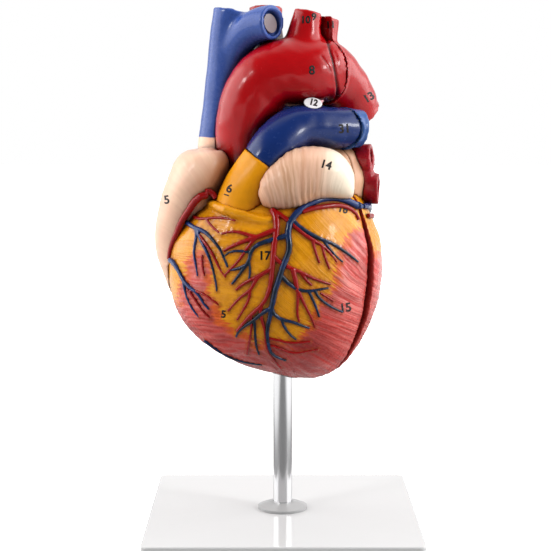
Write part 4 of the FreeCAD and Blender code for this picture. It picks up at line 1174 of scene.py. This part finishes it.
class HEART_OT_great_vessels(bpy.types.Operator):
    """Aorta, pulmonary trunk, great veins and their branches"""
    bl_idname = "heart.great_vessels"
    bl_label = "Great vessels"

    def execute(self, context):
        for seed, (nodes, body, paint, slot) in enumerate(GREAT_VESSELS):
            grid = sizes().vessel_grid * (0.5 if slot == "ligament_pink" else 1.0)
            extras = [rod_form(*EXTRA_FORMS[nodes[0]])] if nodes[0] in EXTRA_FORMS else []
            piece = skin(nodes, grid, 5, extras)
            mesh, points, normals = shape_of(piece)
            shade = np.zeros(len(points))
            rise = lumps(points, 24, seed) * 0.26 + lumps(points, 8, seed + 40) * 0.06
            if nodes[0] == "aortic_arch":
                rise, shade = self.grooves(points, rise)
            if nodes[0] in ("descending_aorta", "left_pulmonary_artery"):
                points = self.flash(points, normals, seed)
            put_points(mesh, points + normals * rise[:, None])
            write_fields(mesh, shade=shade, height=points[:, 2] - HEART_FOOT)
            material = table_paint(paint) if paint in PAINTS else self.two_tone(paint)
            dress(piece, material, body, *nodes, slot=slot)
        return {"FINISHED"}

    def grooves(self, points, rise):
        """The parting line and a crease pressed into the arch, with the painted shade that darkens
        them.
        """
        places = on_sheet(points)
        in_view = near(points[:, 1], *ARCH_FRONT)
        groove = np.exp(-(line_distance(places, ARCH_GROOVE) / GROOVE_WIDTH) ** 2) * in_view
        crease = np.exp(-(line_distance(places, ARCH_CREASE) / CREASE_WIDTH) ** 2) * in_view
        beyond = np.clip(side_of(places, ARCH_GROOVE) / 2.0, 0, 1) * in_view
        beyond = near(-seam_depth(points), 4.5, 6.5) * beyond
        flats = np.round(lumps(points, FLAT_SIZE, 61) * FLAT_STEPS) / FLAT_STEPS * FLAT_STEP_HEIGHT
        rise = rise - groove * GROOVE_DEPTH - crease * CREASE_DEPTH + beyond * (flats + FLAT_RISE)
        return rise, np.clip(groove * 1.2 + crease * 0.35, 0, 1)

    def flash(self, points, normals, seed):
        """A jagged skirt of thin plastic that runs past the seam's edge."""
        depth = seam_depth(points)
        along = -(points @ SEAM_ALONG)
        outward = near(np.abs(normals @ SEAM_NORMAL), 0.5, 0.75)
        rim = near(depth, 0.6, 2.6) * outward
        path = points[:, 2] * 0.9 + along * 0.7
        teeth = np.abs((path / FLASH_PITCH + 0.35 * np.sin(path * 0.9 + seed)) % 1.0 - 0.5) * 2
        jag = 0.4 + 2.2 * teeth * (0.6 + 0.4 * lumps(points, 9, seed + 5))
        moved = points - SEAM_NORMAL * (rim * np.clip(jag, FLASH_LEAST, FLASH_MOST))[:, None]
        return moved + normals * (rim * FLASH_SWELL)[:, None]

    def two_tone(self, name):
        """Blue above, flesh below, with a brushed border."""
        shades = colours()
        material, wiring, shader = new_material(name)
        border = wiring.use(
            ragged_group(), Distance=wiring.minus(wiring.field("height"), TWO_TONE_HEIGHT),
            Marks=0.5, Reach=0.8, Softness=0.25)
        colour = wiring.mix(border.outputs[0], shades.flesh, shades.blue)
        finish_paint(
            wiring, shader, colour, from_srgb(18, 28, 74),
            {"crease": 0.6, "reach": 4.5, "variation": 0.2, "roughness": 0.34, "coat": 0.5})
        return material


class HEART_OT_wall_vessels(bpy.types.Operator):
    """Arteries and veins that run over the wall"""
    bl_idname = "heart.wall_vessels"
    bl_label = "Vessels on the wall"

    def execute(self, context):
        red = table_paint("Wall artery red")
        blue_black = self.vein_paint()
        for node, body, paint, slot in (
                ("coronary_arteries", "heart_front", red, "artery_red"),
                ("cardiac_veins", "heart_front", blue_black, "vein_teal"),
                ("posterior_arteries", "heart_back", red, "artery_red"),
                ("posterior_veins", "heart_back", blue_black, "vein_teal"),
                ("coronary_sinus", "heart_back", blue_black, "vein_teal")):
            extras = [rod_form(*EXTRA_FORMS[node])] if node in EXTRA_FORMS else []
            piece = skin([node], sizes().branch_grid, 5, extras)
            mesh, points, normals = shape_of(piece)
            rise = lumps(points, 6, 21) * 0.05 + 0.12
            put_points(mesh, points + normals * rise[:, None])
            bluer = near(points[:, 2] - HEART_FOOT, *BLUER_HEIGHTS) + near(points[:, 0], *BLUER_SIDES)
            write_fields(mesh, shade=np.zeros(len(points)), bluer=bluer)
            dress(piece, paint, body, node, slot=slot)
        return {"FINISHED"}

    def vein_paint(self):
        """Blue-black, with blue in random patches, and lighter blue as a painted highlight towards the
        top and the left.
        """
        shades = colours()
        material, wiring, shader = new_material("Wall vein blue")
        patches = wiring.step(wiring.noise(wiring.place(), 190.0, 2.0), 0.42, 0.62)
        share = wiring.math("MULTIPLY_ADD", patches, 0.45, wiring.field("bluer"))
        share = wiring.times(wiring.math("MINIMUM", share, 1.0), 0.8)
        # the lighter blue is partly random patches and partly a painted highlight
        colour = wiring.mix(share, shades.vein, from_srgb(26, 54, 116))
        finish_paint(
            wiring, shader, colour, from_srgb(8, 14, 24),
            {"crease": 0.5, "reach": 1.5, "variation": 0.35, "roughness": 0.26, "coat": 0.7})
        return material


class HEART_OT_inside(bpy.types.Operator):
    """Valves, muscles, cords, magnets, socket and the disc in the vein's end"""
    bl_idname = "heart.inside"
    bl_label = "Inside parts"

    def execute(self, context):
        shades = colours()
        red = plain_paint(
            "Inner muscle", shades.muscle, darker(shades.muscle_dark, 0.5), crease=0.7, reach=3.0,
            variation=0.25, roughness=0.35)
        repaint("papillary_muscles", red)
        for paint, *nodes in (
                ("Valve cream", "mitral_valve", "tricuspid_valve", "aortic_valve", "pulmonary_valve",
                 "chordae_tendineae"),
                ("Grey disc", "vein_end_disc"), ("Black socket", "rod_socket"),
                ("Nickel", "magnets_front", "magnets_back")):
            for node in nodes:
                repaint(node, table_paint(paint))
        return {"FINISHED"}


class HEART_OT_numbers(bpy.types.Operator):
    """Printed key numbers and the white sticker"""
    bl_idname = "heart.numbers"
    bl_label = "Key numbers"

    def execute(self, context):
        ink, paper = table_paint("Printing ink"), table_paint("Sticker paper")
        for body, rows in (("heart_front", FRONT_NUMBERS), ("heart_back", BACK_NUMBERS)):
            for index, (text, *where, node) in enumerate(rows):
                dress(self.number(f"number_{text}_{node}_{index}", text, *where, node), ink, body)
        dress(self.disc("sticker"), paper, "heart_front")
        text, *where = STICKER_NUMBER
        dress(self.number("number_12_sticker", text, *where, "sticker"), ink, "heart_front")
        return {"FINISHED"}

    def surface(self, node):
        """The dressed skin that stands for a node, or the sticker."""
        return bpy.data.objects[node if node == "sticker" else SKIN_OF.get(node, node) + "_skin"]

    def number(self, name, text, across, down, height, turn, node):
        curve = bpy.data.curves.new(name, "FONT")
        curve.body = text
        curve.align_x = "CENTER"
        curve.align_y = "CENTER"
        curve.size = height / FIGURE_SHARE
        curve.extrude = FLAT_HALF
        curve.offset = FIGURE_WEIGHT
        holder = placed(name, curve)
        graph = bpy.context.evaluated_depsgraph_get()
        mesh = bpy.data.meshes.new_from_object(holder.evaluated_get(graph))
        bpy.data.objects.remove(holder)
        self.divide(mesh, height)
        piece = placed(name, mesh)
        self.lay(piece, across, down, turn, node)
        return piece

    def divide(self, mesh, height):
        """Cuts the figure's long edges so that it can follow a round surface."""
        figure = bmesh.new()
        figure.from_mesh(mesh)
        bmesh.ops.remove_doubles(figure, verts=figure.verts, dist=height * 1e-4)
        bmesh.ops.triangulate(figure, faces=figure.faces)
        for _ in range(FIGURE_CUTS):
            long_edges = [e for e in figure.edges if e.calc_length() > FIGURE_EDGE]
            if not long_edges:
                break
            bmesh.ops.subdivide_edges(figure, edges=long_edges, cuts=1)
            bmesh.ops.triangulate(figure, faces=figure.faces)
        figure.to_mesh(mesh)
        figure.free()

    def disc(self, name):
        """An oval sheet with a rounded rim."""
        rings, spokes = 6, 40
        points = [(0.0, 0.0, FLAT_HALF)]
        faces = []
        for ring in range(1, rings + 1):
            share = ring / rings
            for k in range(spokes):
                angle = 2 * math.pi * k / spokes
                points.append((math.cos(angle) * share, math.sin(angle) * share, FLAT_HALF))
        rim = len(points)
        for k in range(spokes):
            angle = 2 * math.pi * k / spokes
            points.append((math.cos(angle), math.sin(angle), -FLAT_HALF))
        for k in range(spokes):
            after = (k + 1) % spokes
            faces.append((0, 1 + k, 1 + after))
            for ring in range(rings - 1):
                low = 1 + ring * spokes
                faces.append((low + k, low + spokes + k, low + spokes + after, low + after))
            last = 1 + (rings - 1) * spokes
            faces.append((last + k, rim + k, rim + after, last + after))
        mesh = bpy.data.meshes.new(name)
        wide, high = STICKER_SIZE
        mesh.from_pydata([(x * wide, y * high, z) for x, y, z in points], [], faces)
        piece = placed(name, mesh)
        self.bridge(piece, *STICKER_PLACE, STICKER_TURN)
        return piece

    def turned(self, vertex, across, down, turn):
        """The place on the sheet of a flat piece's vertex."""
        angle = math.radians(turn)
        x, y, _ = vertex.co
        return (across + x * math.cos(angle) - y * math.sin(angle),
                down - x * math.sin(angle) - y * math.cos(angle))

    def bridge(self, piece, across, down, turn):
        """Lays a stiff flat piece in front of the forms that it spans."""
        graph = bpy.context.evaluated_depsgraph_get()
        trees = [BVHTree.FromObject(self.surface(n), graph) for n in STICKER_REST]
        start = Vector(EYE * MM)
        ways, flats, reaches = [], [], []
        for vertex in piece.data.vertices:
            to_right, to_foot = self.turned(vertex, across, down, turn)
            way = sheet_ray(to_right, to_foot)
            hits = [h[3] for h in (t.ray_cast(start, way) for t in trees) if h[0] is not None]
            ways.append(way)
            flats.append((1.0, to_right - across, to_foot - down))
            reaches.append(min(hits) if hits else np.nan)
        flats, reaches = np.array(flats), np.array(reaches)
        solid = np.isfinite(reaches) & (reaches < np.nanmin(reaches) + STICKER_RELIEF * MM)
        slope = np.linalg.lstsq(flats[solid], reaches[solid], rcond=None)[0]
        reach = flats @ slope
        reach -= np.max((reach - reaches)[solid]) + STICKER_GAP * MM
        for vertex, way, distance in zip(piece.data.vertices, ways, reach):
            vertex.co = start + way * (distance - (STICKER_THICKNESS * MM if vertex.co.z > 0 else 0.0))
        piece.data.update()
        piece.data.shade_smooth()

    def lay(self, piece, across, down, turn, node):
        """Wraps a flat piece, drawn in sheet units, onto a dressed surface."""
        graph = bpy.context.evaluated_depsgraph_get()
        tree = BVHTree.FromObject(self.surface(node), graph)
        start = Vector(EYE * MM)
        depth = sizes().print_depth
        for vertex in piece.data.vertices:
            way = sheet_ray(*self.turned(vertex, across, down, turn))
            hit, normal, _, _ = tree.ray_cast(start, way)
            if hit is None:
                raise RuntimeError(f"{piece.name} doesn't lie on {node}")
            vertex.co = hit + normal * (depth if vertex.co.z > 0 else -depth)
        piece.data.update()
        piece.data.shade_smooth()


OPERATORS = (
    HEART_OT_stage, HEART_OT_stand, HEART_OT_walls, HEART_OT_atria, HEART_OT_great_vessels,
    HEART_OT_wall_vessels, HEART_OT_inside, HEART_OT_numbers,
)


class HEART_PT_panel(bpy.types.Panel):
    """Sidebar list of the model's pieces"""
    bl_idname = "HEART_PT_panel"
    bl_label = "Heart model"
    bl_space_type = "VIEW_3D"
    bl_region_type = "UI"
    bl_category = "Heart"

    def draw(self, context):
        for operator in OPERATORS:
            self.layout.operator(operator.bl_idname)
        for group in (context.scene.heart_colours, context.scene.heart_sizes):
            for name in group.__annotations__:
                self.layout.prop(group, name)


CLASSES = (HeartColours, HeartSizes, *OPERATORS, HEART_PT_panel)


def register():
    for kind in CLASSES:
        bpy.utils.register_class(kind)
    bpy.types.Scene.heart_colours = bpy.props.PointerProperty(type=HeartColours)
    bpy.types.Scene.heart_sizes = bpy.props.PointerProperty(type=HeartSizes)


def unregister():
    del bpy.types.Scene.heart_sizes
    del bpy.types.Scene.heart_colours
    for kind in reversed(CLASSES):
        bpy.utils.unregister_class(kind)


def main():
    register()
    bpy.ops.heart.stage()
    bpy.ops.heart.stand()
    bpy.ops.heart.walls()
    bpy.ops.heart.atria()
    bpy.ops.heart.great_vessels()
    bpy.ops.heart.wall_vessels()
    bpy.ops.heart.inside()
    bpy.ops.heart.numbers()


if __name__ == "__main__":
    main()
